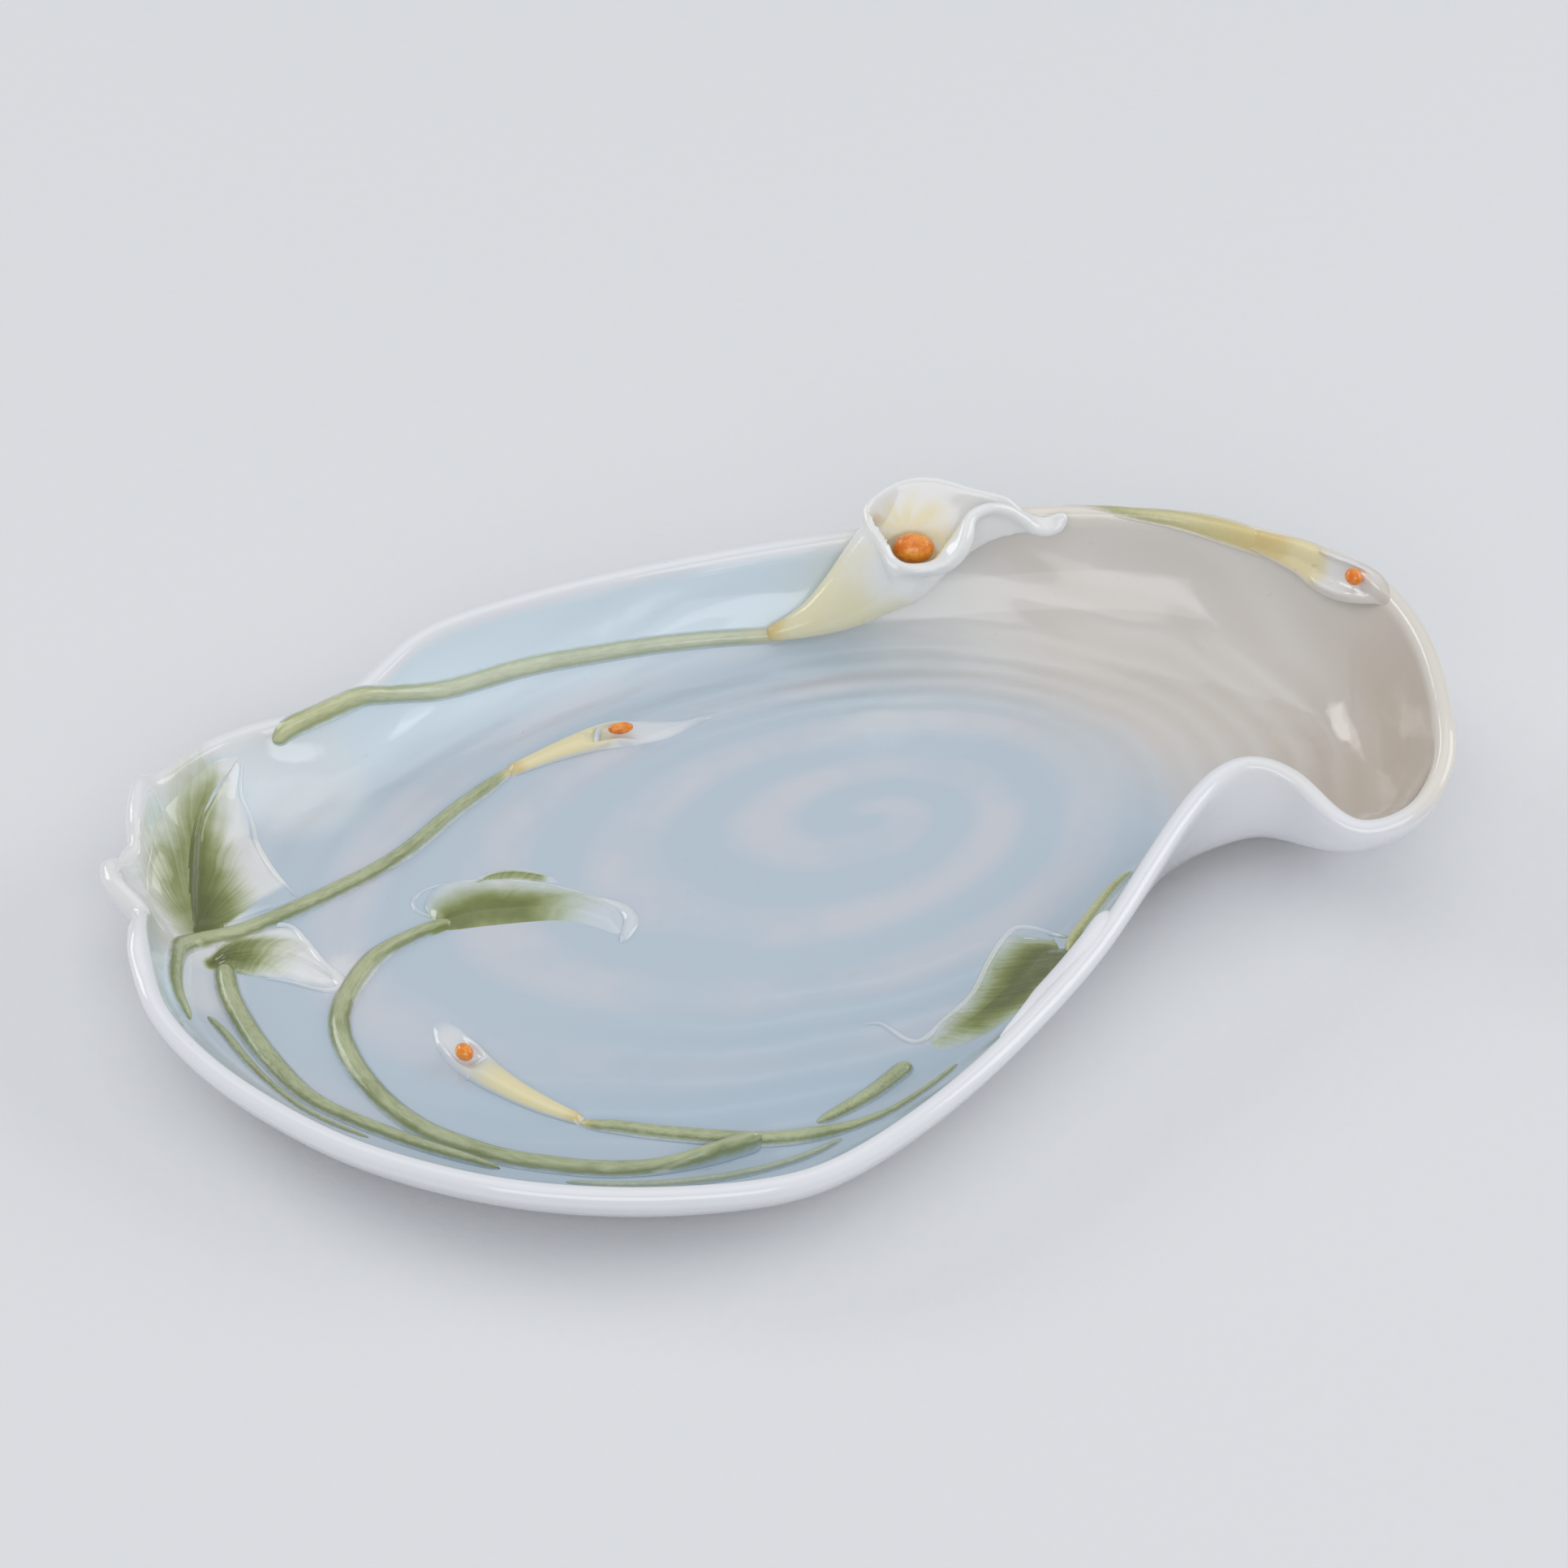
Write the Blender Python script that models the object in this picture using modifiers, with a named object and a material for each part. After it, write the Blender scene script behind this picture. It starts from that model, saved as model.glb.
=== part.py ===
"""A shallow hand-built porcelain dish in the outline of a curling wave, dressed with raised arum lilies.

Metres, +Z up. The dish stands on its foot ring at z = 0, its long axis lies along X, and the
origin is the middle of the whole object's box on the surface that it stands on.
"""
import math

import bmesh
import bpy
from mathutils import Matrix, Vector
from mathutils.bvhtree import BVHTree

MM = 0.001

# Driving sizes of the dish: its rim's middle line, its wall and its floor
LENGTH = 189 * MM
WIDTH = 124 * MM
RIM_HEIGHT = 26 * MM
WALL = 3.0 * MM
FLOOR_HEIGHT = 4.2 * MM
LIP_ROUND = 1.25 * MM
WALL_SWEEP = math.radians(72)

# Clearance between two pieces that are fixed together with slip
SLIP_GAP = 0.3 * MM

# Counts that set how fine the solids are, and the angle from which a corner counts as one
STEPS_PER_STATION = 2
FINE_STEPS = 12
WALL_STEPS = 8
FLOOR_RING_SHARES = (0.3, 0.6, 0.85)
EDGE_SEGMENTS = 2
CORNER_ANGLE = math.radians(50)

# The outline, anticlockwise from the lobe's front: the rim's middle line and the floor's edge
# below it. Columns: rim x of LENGTH, rim y of WIDTH, rim height of RIM_HEIGHT,
# floor x of LENGTH, floor y of WIDTH
OUTLINE_SHARES = (
    (0.475, -0.150, 0.96, 0.440, 0.050),
    (0.500, -0.015, 1.00, 0.440, 0.090),
    (0.500, 0.105, 1.00, 0.425, 0.120),
    (0.480, 0.195, 0.96, 0.400, 0.145),
    (0.435, 0.275, 0.94, 0.370, 0.180),
    (0.375, 0.345, 0.92, 0.325, 0.225),
    (0.300, 0.395, 0.92, 0.265, 0.270),
    (0.225, 0.425, 0.88, 0.200, 0.305),
    (0.145, 0.450, 0.85, 0.125, 0.335),
    (0.050, 0.485, 0.77, 0.035, 0.360),
    (-0.060, 0.500, 0.73, -0.055, 0.380),
    (-0.155, 0.495, 0.71, -0.130, 0.380),
    (-0.210, 0.475, 0.69, -0.185, 0.365),
    (-0.260, 0.425, 0.62, -0.240, 0.340),
    (-0.305, 0.410, 0.58, -0.290, 0.320),
    (-0.350, 0.420, 0.54, -0.335, 0.305),
    (-0.405, 0.385, 0.56, -0.370, 0.295),
    (-0.445, 0.350, 0.58, -0.395, 0.270),
    (-0.465, 0.275, 0.60, -0.415, 0.235),
    (-0.495, 0.205, 0.58, -0.425, 0.185),
    (-0.485, 0.140, 0.62, -0.435, 0.125),
    (-0.495, 0.070, 0.58, -0.440, 0.060),
    (-0.500, -0.010, 0.54, -0.440, -0.005),
    (-0.485, -0.095, 0.52, -0.430, -0.070),
    (-0.460, -0.170, 0.50, -0.410, -0.135),
    (-0.420, -0.265, 0.50, -0.375, -0.205),
    (-0.375, -0.335, 0.50, -0.335, -0.270),
    (-0.320, -0.400, 0.50, -0.285, -0.325),
    (-0.255, -0.450, 0.50, -0.230, -0.370),
    (-0.185, -0.485, 0.50, -0.175, -0.395),
    (-0.115, -0.500, 0.50, -0.115, -0.405),
    (-0.048, -0.473, 0.52, -0.060, -0.385),
    (0.028, -0.418, 0.54, 0.000, -0.335),
    (0.103, -0.347, 0.58, 0.055, -0.265),
    (0.163, -0.284, 0.65, 0.110, -0.200),
    (0.212, -0.219, 0.73, 0.165, -0.140),
    (0.260, -0.155, 0.81, 0.220, -0.100),
    (0.300, -0.115, 0.87, 0.275, -0.070),
    (0.330, -0.115, 0.89, 0.315, -0.055),
    (0.355, -0.145, 0.83, 0.345, -0.040),
    (0.370, -0.195, 0.73, 0.370, -0.035),
    (0.390, -0.225, 0.69, 0.390, -0.025),
    (0.425, -0.235, 0.77, 0.415, -0.005),
    (0.455, -0.205, 0.88, 0.430, 0.020),
)
FLOOR_CENTRE_SHARES = (0.02, 0.0)

# Foot ring, luted under the floor
FOOT_HEIGHT = 2.4 * MM
FOOT_WIDTH = 5.0 * MM
FOOT_EDGE = 0.6 * MM
FOOT_SHARE = 0.93

# Raised stems, laid on the dish like half-round clay coils
STEM_WIDTH = 3.4 * MM
STEM_HEIGHT = 1.5 * MM
STEM_STEP = 3.0 * MM
STEM_FULL_SHARE = 0.83
STEM_ARC_DEGREES = (0, 30, 60, 90, 120, 150, 180)
END_SHARES = (0.0, 0.25, 1.0)
END_LEAST_SHARE = 0.3
LIP_SAG = 0.3 * MM

# Each stem's route. Columns: x of LENGTH, y of WIDTH, width of STEM_WIDTH, lift of STEM_HEIGHT
STEM_SHARES = {
    "large_lily_stem": (
        (0.0665, 0.417, 0.7, 0), (0.015, 0.434, 0.8, 0), (-0.048, 0.446, 0.85, 0), (-0.127, 0.450, 0.9, 0),
        (-0.209, 0.434, 0.9, 0), (-0.251, 0.416, 0.9, 0.2), (-0.275, 0.408, 1, 0.2), (-0.300, 0.401, 1, 0.1),
        (-0.320, 0.400, 1, 0), (-0.336, 0.397, 1, 0),
    ),
    "middle_lily_stem": (
        (-0.170, 0.310, 0.7, 0), (-0.188, 0.294, 0.8, 0), (-0.222, 0.263, 0.85, 0), (-0.265, 0.218, 0.9, 0),
        (-0.305, 0.191, 0.95, 0), (-0.371, 0.160, 1, 0), (-0.408, 0.147, 1, 0), (-0.437, 0.147, 1, 0),
        (-0.456, 0.130, 1, 0), (-0.470, 0.080, 1, 0), (-0.476, 0.033, 1, 0), (-0.472, 0.000, 0.5, 0),
    ),
    "centre_leaf_stem": (
        (-0.2662, 0.080, 0.6, 0), (-0.293, 0.073, 0.85, 0), (-0.322, 0.055, 1, 0), (-0.346, 0.020, 1, 0),
        (-0.363, -0.017, 1, 0), (-0.371, -0.058, 1, 0), (-0.370, -0.118, 1, 0), (-0.360, -0.181, 1, 0),
        (-0.344, -0.230, 1, 0), (-0.322, -0.270, 1, 0), (-0.297, -0.305, 1, 0), (-0.262, -0.338, 1, 0),
        (-0.235, -0.358, 1, 0), (-0.207, -0.371, 0.95, 0), (-0.185, -0.377, 0.9, 0.5), (-0.165, -0.379, 0.9, 1.1),
        (-0.140, -0.378, 0.9, 1.3), (-0.122, -0.377, 0.85, 1.3),
    ),
    "corner_leaf_stem": (
        (-0.434, 0.065, 1, 0), (-0.435, 0.032, 1, 0), (-0.431, -0.032, 1, 0), (-0.423, -0.088, 0.95, 0),
        (-0.412, -0.138, 0.9, 0), (-0.396, -0.178, 0.85, 0), (-0.374, -0.216, 0.8, 0), (-0.350, -0.256, 0.6, 0),
        (-0.3415, -0.2705, 0.3, 0),
    ),
    "wall_strand": (
        (-0.268, -0.363, 0.25, 0), (-0.240, -0.386, 0.5, 0), (-0.211, -0.401, 0.55, 0), (-0.183, -0.411, 0.55, 0),
        (-0.155, -0.416, 0.55, 0), (-0.125, -0.417, 0.5, 0), (-0.093, -0.412, 0.45, 0), (-0.066, -0.401, 0.3, 0),
    ),
    "corner_leaf_tendril": (
        (-0.457, 0.020, 0.35, 0), (-0.450, -0.012, 0.45, 0), (-0.443, -0.060, 0.45, 0), (-0.435, -0.102, 0.4, 0),
        (-0.4295, -0.124, 0.25, 0),
    ),
    "front_lily_stem": (
        (-0.2372, -0.283, 0.7, 0), (-0.211, -0.303, 0.8, 0), (-0.184, -0.327, 0.85, 0), (-0.142, -0.359, 0.9, 0),
        (-0.115, -0.375, 0.9, 0), (-0.087, -0.383, 0.85, 0), (-0.056, -0.386, 0.6, 0), (-0.023, -0.379, 0.45, 0),
        (0.013, -0.360, 0.4, 0), (0.036, -0.341, 0.3, 0),
    ),
    "cut_stem": (
        (-0.080, -0.367, 0.35, 0), (-0.062, -0.361, 0.65, 0), (-0.028, -0.342, 0.8, 0), (0.007, -0.313, 0.9, 0),
    ),
    "side_leaf_stem": (
        (0.1635, -0.206, 0.5, 0), (0.174, -0.192, 0.75, 0), (0.188, -0.172, 0.8, 0), (0.204, -0.149, 0.7, 0),
        (0.221, -0.126, 0.5, 0), (0.236, -0.109, 0.25, 0),
    ),
    "rim_lily_stem": (
        (0.343, 0.357, 0.5, 0), (0.381, 0.322, 0.75, 0.2), (0.415, 0.283, 0.8, 0.2), (0.4435, 0.245, 0.65, 0),
    ),
}

# Leaves, pressed thin. Each is three lines of points: left edge, midrib and right edge,
# as shares x of LENGTH and y of WIDTH
LEAF_EDGE = 0.45 * MM
LEAF_SWELL = 0.8 * MM
LEAF_GROOVE = 0.35 * MM
LEAF_CREST_SHARE = 0.77
LEAF_STEPS = 3
LEAF_ACROSS_SHARES = (0, 0.25, 0.5, 0.75)
LEAF_SHARES = {
    "centre_leaf": (
        ((-0.268, 0.100), (-0.272, 0.128), (-0.250, 0.160), (-0.215, 0.156), (-0.180, 0.130), (-0.148, 0.080),
         (-0.124, 0.026)),
        ((-0.264, 0.080), (-0.246, 0.078), (-0.220, 0.072), (-0.195, 0.065), (-0.170, 0.050), (-0.147, 0.028),
         (-0.124, 0.008)),
        ((-0.260, 0.062), (-0.240, 0.057), (-0.217, 0.050), (-0.192, 0.042), (-0.170, 0.028), (-0.150, 0.000),
         (-0.132, -0.016)),
    ),
    "side_leaf": (
        ((0.160, -0.182), (0.150, -0.155), (0.125, -0.150), (0.098, -0.190), (0.065, -0.245), (0.030, -0.268),
         (0.010, -0.252), (-0.010, -0.232)),
        ((0.158, -0.198), (0.135, -0.215), (0.108, -0.238), (0.080, -0.258), (0.050, -0.275), (0.020, -0.285),
         (0.002, -0.270), (-0.014, -0.240)),
        ((0.160, -0.212), (0.140, -0.238), (0.115, -0.258), (0.090, -0.276), (0.058, -0.292), (0.024, -0.300),
         (-0.004, -0.284), (-0.018, -0.246)),
    ),
    "corner_leaf": (
        ((-0.456, 0.168), (-0.464, 0.190), (-0.464, 0.225), (-0.450, 0.275), (-0.434, 0.316), (-0.414, 0.346),
         (-0.372, 0.380)),
        ((-0.438, 0.175), (-0.434, 0.200), (-0.428, 0.235), (-0.420, 0.280), (-0.407, 0.325), (-0.390, 0.360),
         (-0.362, 0.385)),
        ((-0.402, 0.180), (-0.378, 0.188), (-0.357, 0.204), (-0.358, 0.245), (-0.364, 0.300), (-0.365, 0.345),
         (-0.356, 0.378)),
    ),
    "side_leaf_fold": (
        ((0.091, -0.356), (0.104, -0.331), (0.125, -0.300), (0.147, -0.273), (0.167, -0.253), (0.184, -0.244)),
        ((0.092, -0.358), (0.107, -0.338), (0.130, -0.311), (0.153, -0.285), (0.172, -0.263), (0.186, -0.249)),
        ((0.093, -0.359), (0.110, -0.344), (0.134, -0.320), (0.158, -0.295), (0.176, -0.272), (0.188, -0.254)),
    ),
    "corner_leaf_lobe": (
        ((-0.425, 0.124), (-0.400, 0.130), (-0.380, 0.134), (-0.366, 0.123), (-0.357, 0.085), (-0.3575, 0.044)),
        ((-0.430, 0.108), (-0.405, 0.105), (-0.385, 0.098), (-0.370, 0.082), (-0.364, 0.058), (-0.361, 0.038)),
        ((-0.425, 0.090), (-0.408, 0.074), (-0.392, 0.055), (-0.380, 0.030), (-0.371, 0.024), (-0.364, 0.033)),
    ),
}

# The large lily, leaning on the far wall. Its own frame starts at the neck: x to the right, y up
# along the wall, z out of the wall. Its tables are shares of its reach from neck to tip
LILY_PLACE_SHARES = (0.067, 0.416)
LILY_REACH = 44 * MM
LILY_TURN = math.radians(-20)
LILY_LEAN = math.radians(50)
LILY_WALL = 0.9 * MM
LILY_LIP = 1.9 * MM
LILY_RIM_CLEAR = 0.9 * MM
LILY_STEPS = 2
LILY_HOLLOW_RING = 4
# Columns: x, y, half width, half depth
LILY_TUBE_SHARES = (
    (0.010, 0.005, 0.028, 0.022),
    (0.135, 0.045, 0.055, 0.042),
    (0.250, 0.108, 0.098, 0.066),
    (0.348, 0.185, 0.135, 0.086),
    (0.440, 0.258, 0.168, 0.100),
)
# Columns: x, y, height above the wall's plane, how far the sheet is tucked up below the edge, and
# the edge's thickness as a share of the lip, from the left flap over the hood to the tip and back
# along the front lip
LILY_MOUTH_SHARES = (
    (0.424, 0.190, 0.178, 0, 0.6), (0.414, 0.245, 0.205, 0, 0.8), (0.388, 0.307, 0.195, 0, 1.0),
    (0.350, 0.366, 0.155, 0, 0.9), (0.324, 0.420, 0.098, 0, 0.8), (0.375, 0.475, 0.068, 0, 0.7),
    (0.448, 0.520, 0.045, 0, 0.7), (0.520, 0.534, 0.045, 0, 0.7), (0.598, 0.527, 0.050, 0, 0.65),
    (0.673, 0.502, 0.059, 0.01, 0.6), (0.743, 0.484, 0.055, 0.02, 0.55), (0.809, 0.464, 0.041, 0.03, 0.5),
    (0.868, 0.416, 0.030, 0.045, 0.5), (0.932, 0.380, 0.020, 0.06, 0.5), (1.000, 0.377, 0.040, 0.07, 0.5),
    (0.982, 0.339, 0.034, 0.07, 0.5), (0.918, 0.350, 0.048, 0.07, 0.5), (0.868, 0.389, 0.072, 0.06, 0.55),
    (0.809, 0.420, 0.105, 0.045, 0.7), (0.741, 0.427, 0.141, 0.03, 0.85), (0.689, 0.393, 0.168, 0.015, 1.0),
    (0.684, 0.330, 0.191, 0, 1.0), (0.660, 0.262, 0.205, 0, 1.0), (0.600, 0.216, 0.214, 0, 1.0),
    (0.525, 0.206, 0.209, 0, 0.9), (0.458, 0.212, 0.188, 0, 0.6),
)
LILY_START_ANGLE = math.radians(60)
LILY_THROAT_SHARE = 0.5

# The small lilies, lying on the dish. Each has a route from its neck over its mouth to its tip in
# the plan, as shares x of LENGTH and y of WIDTH, and its own sizes
SMALL_LILIES = {
    "front_lily": {
        "route_shares": (
            (-0.239, -0.280), (-0.262, -0.238), (-0.282, -0.189), (-0.296, -0.144), (-0.304, -0.092)),
        "neck": 1.2 * MM, "mouth": 2.9 * MM, "flat_share": 0.55, "mouth_share": 0.62,
        "spadix_along_share": 0.74, "spadix_aside_share": 0,
        "spadix": 1.25 * MM, "spadix_length": 3.0 * MM,
    },
    "middle_lily": {
        "route_shares": ((-0.168, 0.312), (-0.130, 0.322), (-0.094, 0.327), (-0.060, 0.320), (-0.012, 0.320)),
        "neck": 1.1 * MM, "mouth": 2.6 * MM, "flat_share": 0.5, "mouth_share": 0.46,
        "spadix_along_share": 0.62, "spadix_aside_share": 0,
        "spadix": 0.95 * MM, "spadix_length": 3.8 * MM,
    },
    "rim_lily": {
        "route_shares": (
            (0.446, 0.242), (0.463, 0.209), (0.4745, 0.176), (0.483, 0.143), (0.489, 0.108), (0.493, 0.070)),
        "neck": 1.3 * MM, "mouth": 3.9 * MM, "flat_share": 0.5, "mouth_share": 0.55,
        "spadix_along_share": 0.70, "spadix_aside_share": 0,
        "spadix": 1.3 * MM, "spadix_length": 3.0 * MM,
    },
}
SMALL_WALL = 0.7 * MM
SMALL_RINGS = 6
SMALL_SIDES = 14
SMALL_HOLLOW_RING = 2
SMALL_SWELL = 1.6
SMALL_FLARE_SHARE = 0.15

# Spadices, one in each mouth
SPADIX_SEGMENTS = 12
SPADIX_RINGS = 8
LILY_SPADIX_SHARE = 0.053
LILY_SPADIX_LENGTH_SHARE = 0.138
LILY_SPADIX_SHARES = (0.498, 0.322, 0.135)
LILY_SPADIX_CLEAR = 0.6 * MM


def clear_scene():
    """Remove what a new file holds."""
    for old in list(bpy.data.objects):
        bpy.data.objects.remove(old, do_unlink=True)


def smooth_path(points, steps, closed=False):
    """Points along a smooth curve through the given tuples, the given steps to each span."""
    count = len(points)
    last = count if closed else count - 1
    path = []
    for i in range(last):
        if closed:
            a, b, c, d = (points[(i + k) % count] for k in (-1, 0, 1, 2))
        else:
            a, b, c, d = (points[min(max(i + k, 0), count - 1)] for k in (-1, 0, 1, 2))
        for step in range(steps):
            t = step / steps
            path.append(tuple(
                b[j] + t * (c[j] - a[j]) / 2
                + t * t * (2 * a[j] - 5 * b[j] + 4 * c[j] - d[j]) / 2
                + t ** 3 * (3 * b[j] - a[j] - 3 * c[j] + d[j]) / 2
                for j in range(len(b))))
    if not closed:
        path.append(tuple(points[-1]))
    return path


def new_material(name, colour, roughness):
    """A glazed or bare ceramic finish."""
    material = bpy.data.materials.new(name)
    material.use_nodes = True
    shader = material.node_tree.nodes["Principled BSDF"]
    shader.inputs["Base Color"].default_value = (*colour, 1)
    shader.inputs["Roughness"].default_value = roughness
    shader.inputs["Metallic"].default_value = 0
    return material


def new_piece(name, vertices, faces, material, collection):
    """A named mesh object made of the given vertices and faces."""
    mesh = bpy.data.meshes.new(name)
    mesh.from_pydata(vertices, [], faces)
    mesh.materials.append(material)
    piece = bpy.data.objects.new(name, mesh)
    collection.objects.link(piece)
    return piece


def shade_round(piece, angle=CORNER_ANGLE):
    """Shade the piece smooth, with its corners kept."""
    piece.data.shade_smooth()
    piece.data.set_sharp_from_angle(angle=angle)


def outline_stations():
    """The rim and floor points of every station, as pairs of vectors."""
    stations = []
    for rim_x, rim_y, rim_z, floor_x, floor_y in smooth_path(OUTLINE_SHARES, STEPS_PER_STATION, closed=True):
        rim = Vector((rim_x * LENGTH, rim_y * WIDTH, rim_z * RIM_HEIGHT))
        floor = Vector((floor_x * LENGTH, floor_y * WIDTH, FLOOR_HEIGHT))
        stations.append((floor, rim))
    return stations


def wall_point(floor, rim, share):
    """A point of the wall's middle surface, which leaves the floor level and steepens to the rim."""
    angle = WALL_SWEEP * share
    run = math.sin(angle) / math.sin(WALL_SWEEP)
    rise = (1 - math.cos(angle)) / (1 - math.cos(WALL_SWEEP))
    point = floor + (rim - floor) * run
    point.z = floor.z + (rim.z - floor.z) * rise
    return point


def build_dish_body(material, collection):
    """The dish: a loft from the floor's edge to the rim, given its wall and a rounded lip."""
    stations = outline_stations()
    around = len(stations)
    centre = Vector((FLOOR_CENTRE_SHARES[0] * LENGTH, FLOOR_CENTRE_SHARES[1] * WIDTH, FLOOR_HEIGHT))
    rings = [[centre + (floor - centre) * share for floor, rim in stations] for share in FLOOR_RING_SHARES]
    for step in range(WALL_STEPS + 1):
        rings.append([wall_point(floor, rim, step / WALL_STEPS) for floor, rim in stations])
    vertices = [centre] + [point for ring in rings for point in ring]
    faces = [(0, 1 + i, 1 + (i + 1) % around) for i in range(around)]
    for r in range(len(rings) - 1):
        low = 1 + r * around
        high = low + around
        for i in range(around):
            j = (i + 1) % around
            faces.append((low + i, high + i, high + j, low + j))
    piece = new_piece("dish_body", vertices, faces, material, collection)
    wall = piece.modifiers.new("wall", "SOLIDIFY")
    wall.thickness = WALL
    wall.offset = 0
    wall.use_even_offset = True
    lip = piece.modifiers.new("lip", "BEVEL")
    lip.width = LIP_ROUND
    lip.segments = EDGE_SEGMENTS
    lip.limit_method = "ANGLE"
    lip.angle_limit = CORNER_ANGLE
    shade_round(piece)
    return piece


def build_foot_ring(material, collection):
    """The foot: a flat band that follows the floor's edge under the dish."""
    stations = outline_stations()
    centre = Vector((FLOOR_CENTRE_SHARES[0] * LENGTH, FLOOR_CENTRE_SHARES[1] * WIDTH, 0))
    outer = []
    for floor, rim in stations[::STEPS_PER_STATION]:
        edge = centre + (floor - centre) * FOOT_SHARE
        outer.append(Vector((edge.x, edge.y, 0)))
    inner = []
    for i, point in enumerate(outer):
        along = (outer[(i + 1) % len(outer)] - outer[i - 1]).normalized()
        inner.append(point + Vector((-along.y, along.x, 0)) * FOOT_WIDTH)
    count = len(outer)
    faces = []
    for i in range(count):
        j = (i + 1) % count
        faces.append((i, j, count + j, count + i))
    piece = new_piece("foot_ring", outer + inner, faces, material, collection)
    band = piece.modifiers.new("height", "SOLIDIFY")
    band.thickness = FOOT_HEIGHT
    band.offset = 1
    edge = piece.modifiers.new("edge", "BEVEL")
    edge.width = FOOT_EDGE
    edge.segments = EDGE_SEGMENTS
    edge.limit_method = "ANGLE"
    edge.angle_limit = CORNER_ANGLE
    shade_round(piece)
    return piece


class Ground:
    """The dish's surface, which the raised pieces are laid on."""

    def __init__(self, piece):
        bpy.context.view_layer.update()
        self.tree = BVHTree.FromObject(piece, bpy.context.evaluated_depsgraph_get())
        self.height = 2 * RIM_HEIGHT
        self.probe = WALL / 2

    def below(self, x, y):
        """The surface straight below a place in the plan."""
        return self.tree.ray_cast(Vector((x, y, self.height)), Vector((0, 0, -1)))

    def frame(self, x, y):
        """The surface point at a place in the plan, and its normal, evened over a short distance."""
        hit, normal = self.below(x, y)[:2]
        total = Vector(normal)
        for dx, dy in ((1, 0), (0, 1), (-1, 0), (0, -1)):
            near, near_normal = self.below(x + dx * self.probe, y + dy * self.probe)[:2]
            if near is not None:
                total += near_normal
        return hit, total.normalized()

    def drop(self, point, normal):
        """The surface point found from the given point against its normal, no lower than the sag allows."""
        start = point + normal * WALL
        hit = self.tree.ray_cast(start, -normal)[0]
        lowest = point - normal * LIP_SAG
        if hit is None or (hit - lowest).dot(normal) < 0:
            return lowest
        return hit

    def keep_off(self, point, clear=SLIP_GAP):
        """The point itself, or where it is pushed to so that it clears the surface."""
        near, normal = self.tree.find_nearest(point)[:2]
        if (point - near).dot(normal) < clear:
            return near + normal * clear
        return point


def measured_path(points):
    """Fine points on the smooth curve through the given ones, and how far along the plan each one lies."""
    fine = smooth_path(points, FINE_STEPS)
    lengths = [0]
    for a, b in zip(fine, fine[1:]):
        lengths.append(lengths[-1] + math.dist(a[:2], b[:2]))
    return fine, lengths


def read_path(fine, lengths, distance):
    """The path's values at a distance along it."""
    i = 0
    while i < len(lengths) - 2 and lengths[i + 1] < distance:
        i += 1
    t = (distance - lengths[i]) / (lengths[i + 1] - lengths[i])
    return tuple(a + (b - a) * t for a, b in zip(fine[i], fine[i + 1]))


def loft(name, rings, material, collection):
    """A closed solid through rings of as many points each, with its two ends filled."""
    size = len(rings[0])
    vertices = [point for ring in rings for point in ring]
    faces = []
    for r in range(len(rings) - 1):
        low = r * size
        high = low + size
        for i in range(size):
            j = (i + 1) % size
            faces.append((low + i, low + j, high + j, high + i))
    faces.append(tuple(reversed(range(size))))
    last = (len(rings) - 1) * size
    faces.append(tuple(last + i for i in range(size)))
    piece = new_piece(name, vertices, faces, material, collection)
    mesh = bmesh.new()
    mesh.from_mesh(piece.data)
    bmesh.ops.recalc_face_normals(mesh, faces=mesh.faces)
    mesh.to_mesh(piece.data)
    mesh.free()
    shade_round(piece)
    return piece


def build_stem(name, route, ground, material, collection):
    """A half-round coil laid along its route on the dish, with rounded ends."""
    points = [(x * LENGTH, y * WIDTH, width, lift) for x, y, width, lift in route]
    fine, lengths = measured_path(points)
    total = lengths[-1]
    radius = STEM_WIDTH / 2
    ends = [share * radius for share in END_SHARES]
    middle = total - 2 * radius
    count = max(1, math.ceil(middle / STEM_STEP))
    distances = ends[:-1] + [radius + middle * i / count for i in range(count + 1)]
    distances += [total - end for end in reversed(ends[:-1])]
    places = [read_path(fine, lengths, distance) for distance in distances]
    frames = [ground.frame(place[0], place[1]) for place in places]
    rings = []
    for i, (distance, place) in enumerate(zip(distances, places)):
        hit, normal = frames[i]
        ahead = frames[min(i + 1, len(frames) - 1)][0]
        behind = frames[max(i - 1, 0)][0]
        side = (ahead - behind).cross(normal).normalized()
        near_end = min(distance, total - distance, radius) / radius
        rounding = max(END_LEAST_SHARE, math.sqrt(1 - (1 - near_end) ** 2))
        half = radius * place[2] * rounding
        height = STEM_HEIGHT * min(1, place[2] / STEM_FULL_SHARE) * rounding
        lift = SLIP_GAP + place[3] * STEM_HEIGHT
        ring = []
        for degrees in STEM_ARC_DEGREES:
            angle = math.radians(degrees)
            base = ground.drop(hit + side * half * math.cos(angle), normal)
            ring.append(base + normal * (lift + height * math.sin(angle)))
        ring.append(ground.drop(hit, normal) + normal * lift)
        rings.append(ring)
    return loft(name, rings, material, collection)


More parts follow.
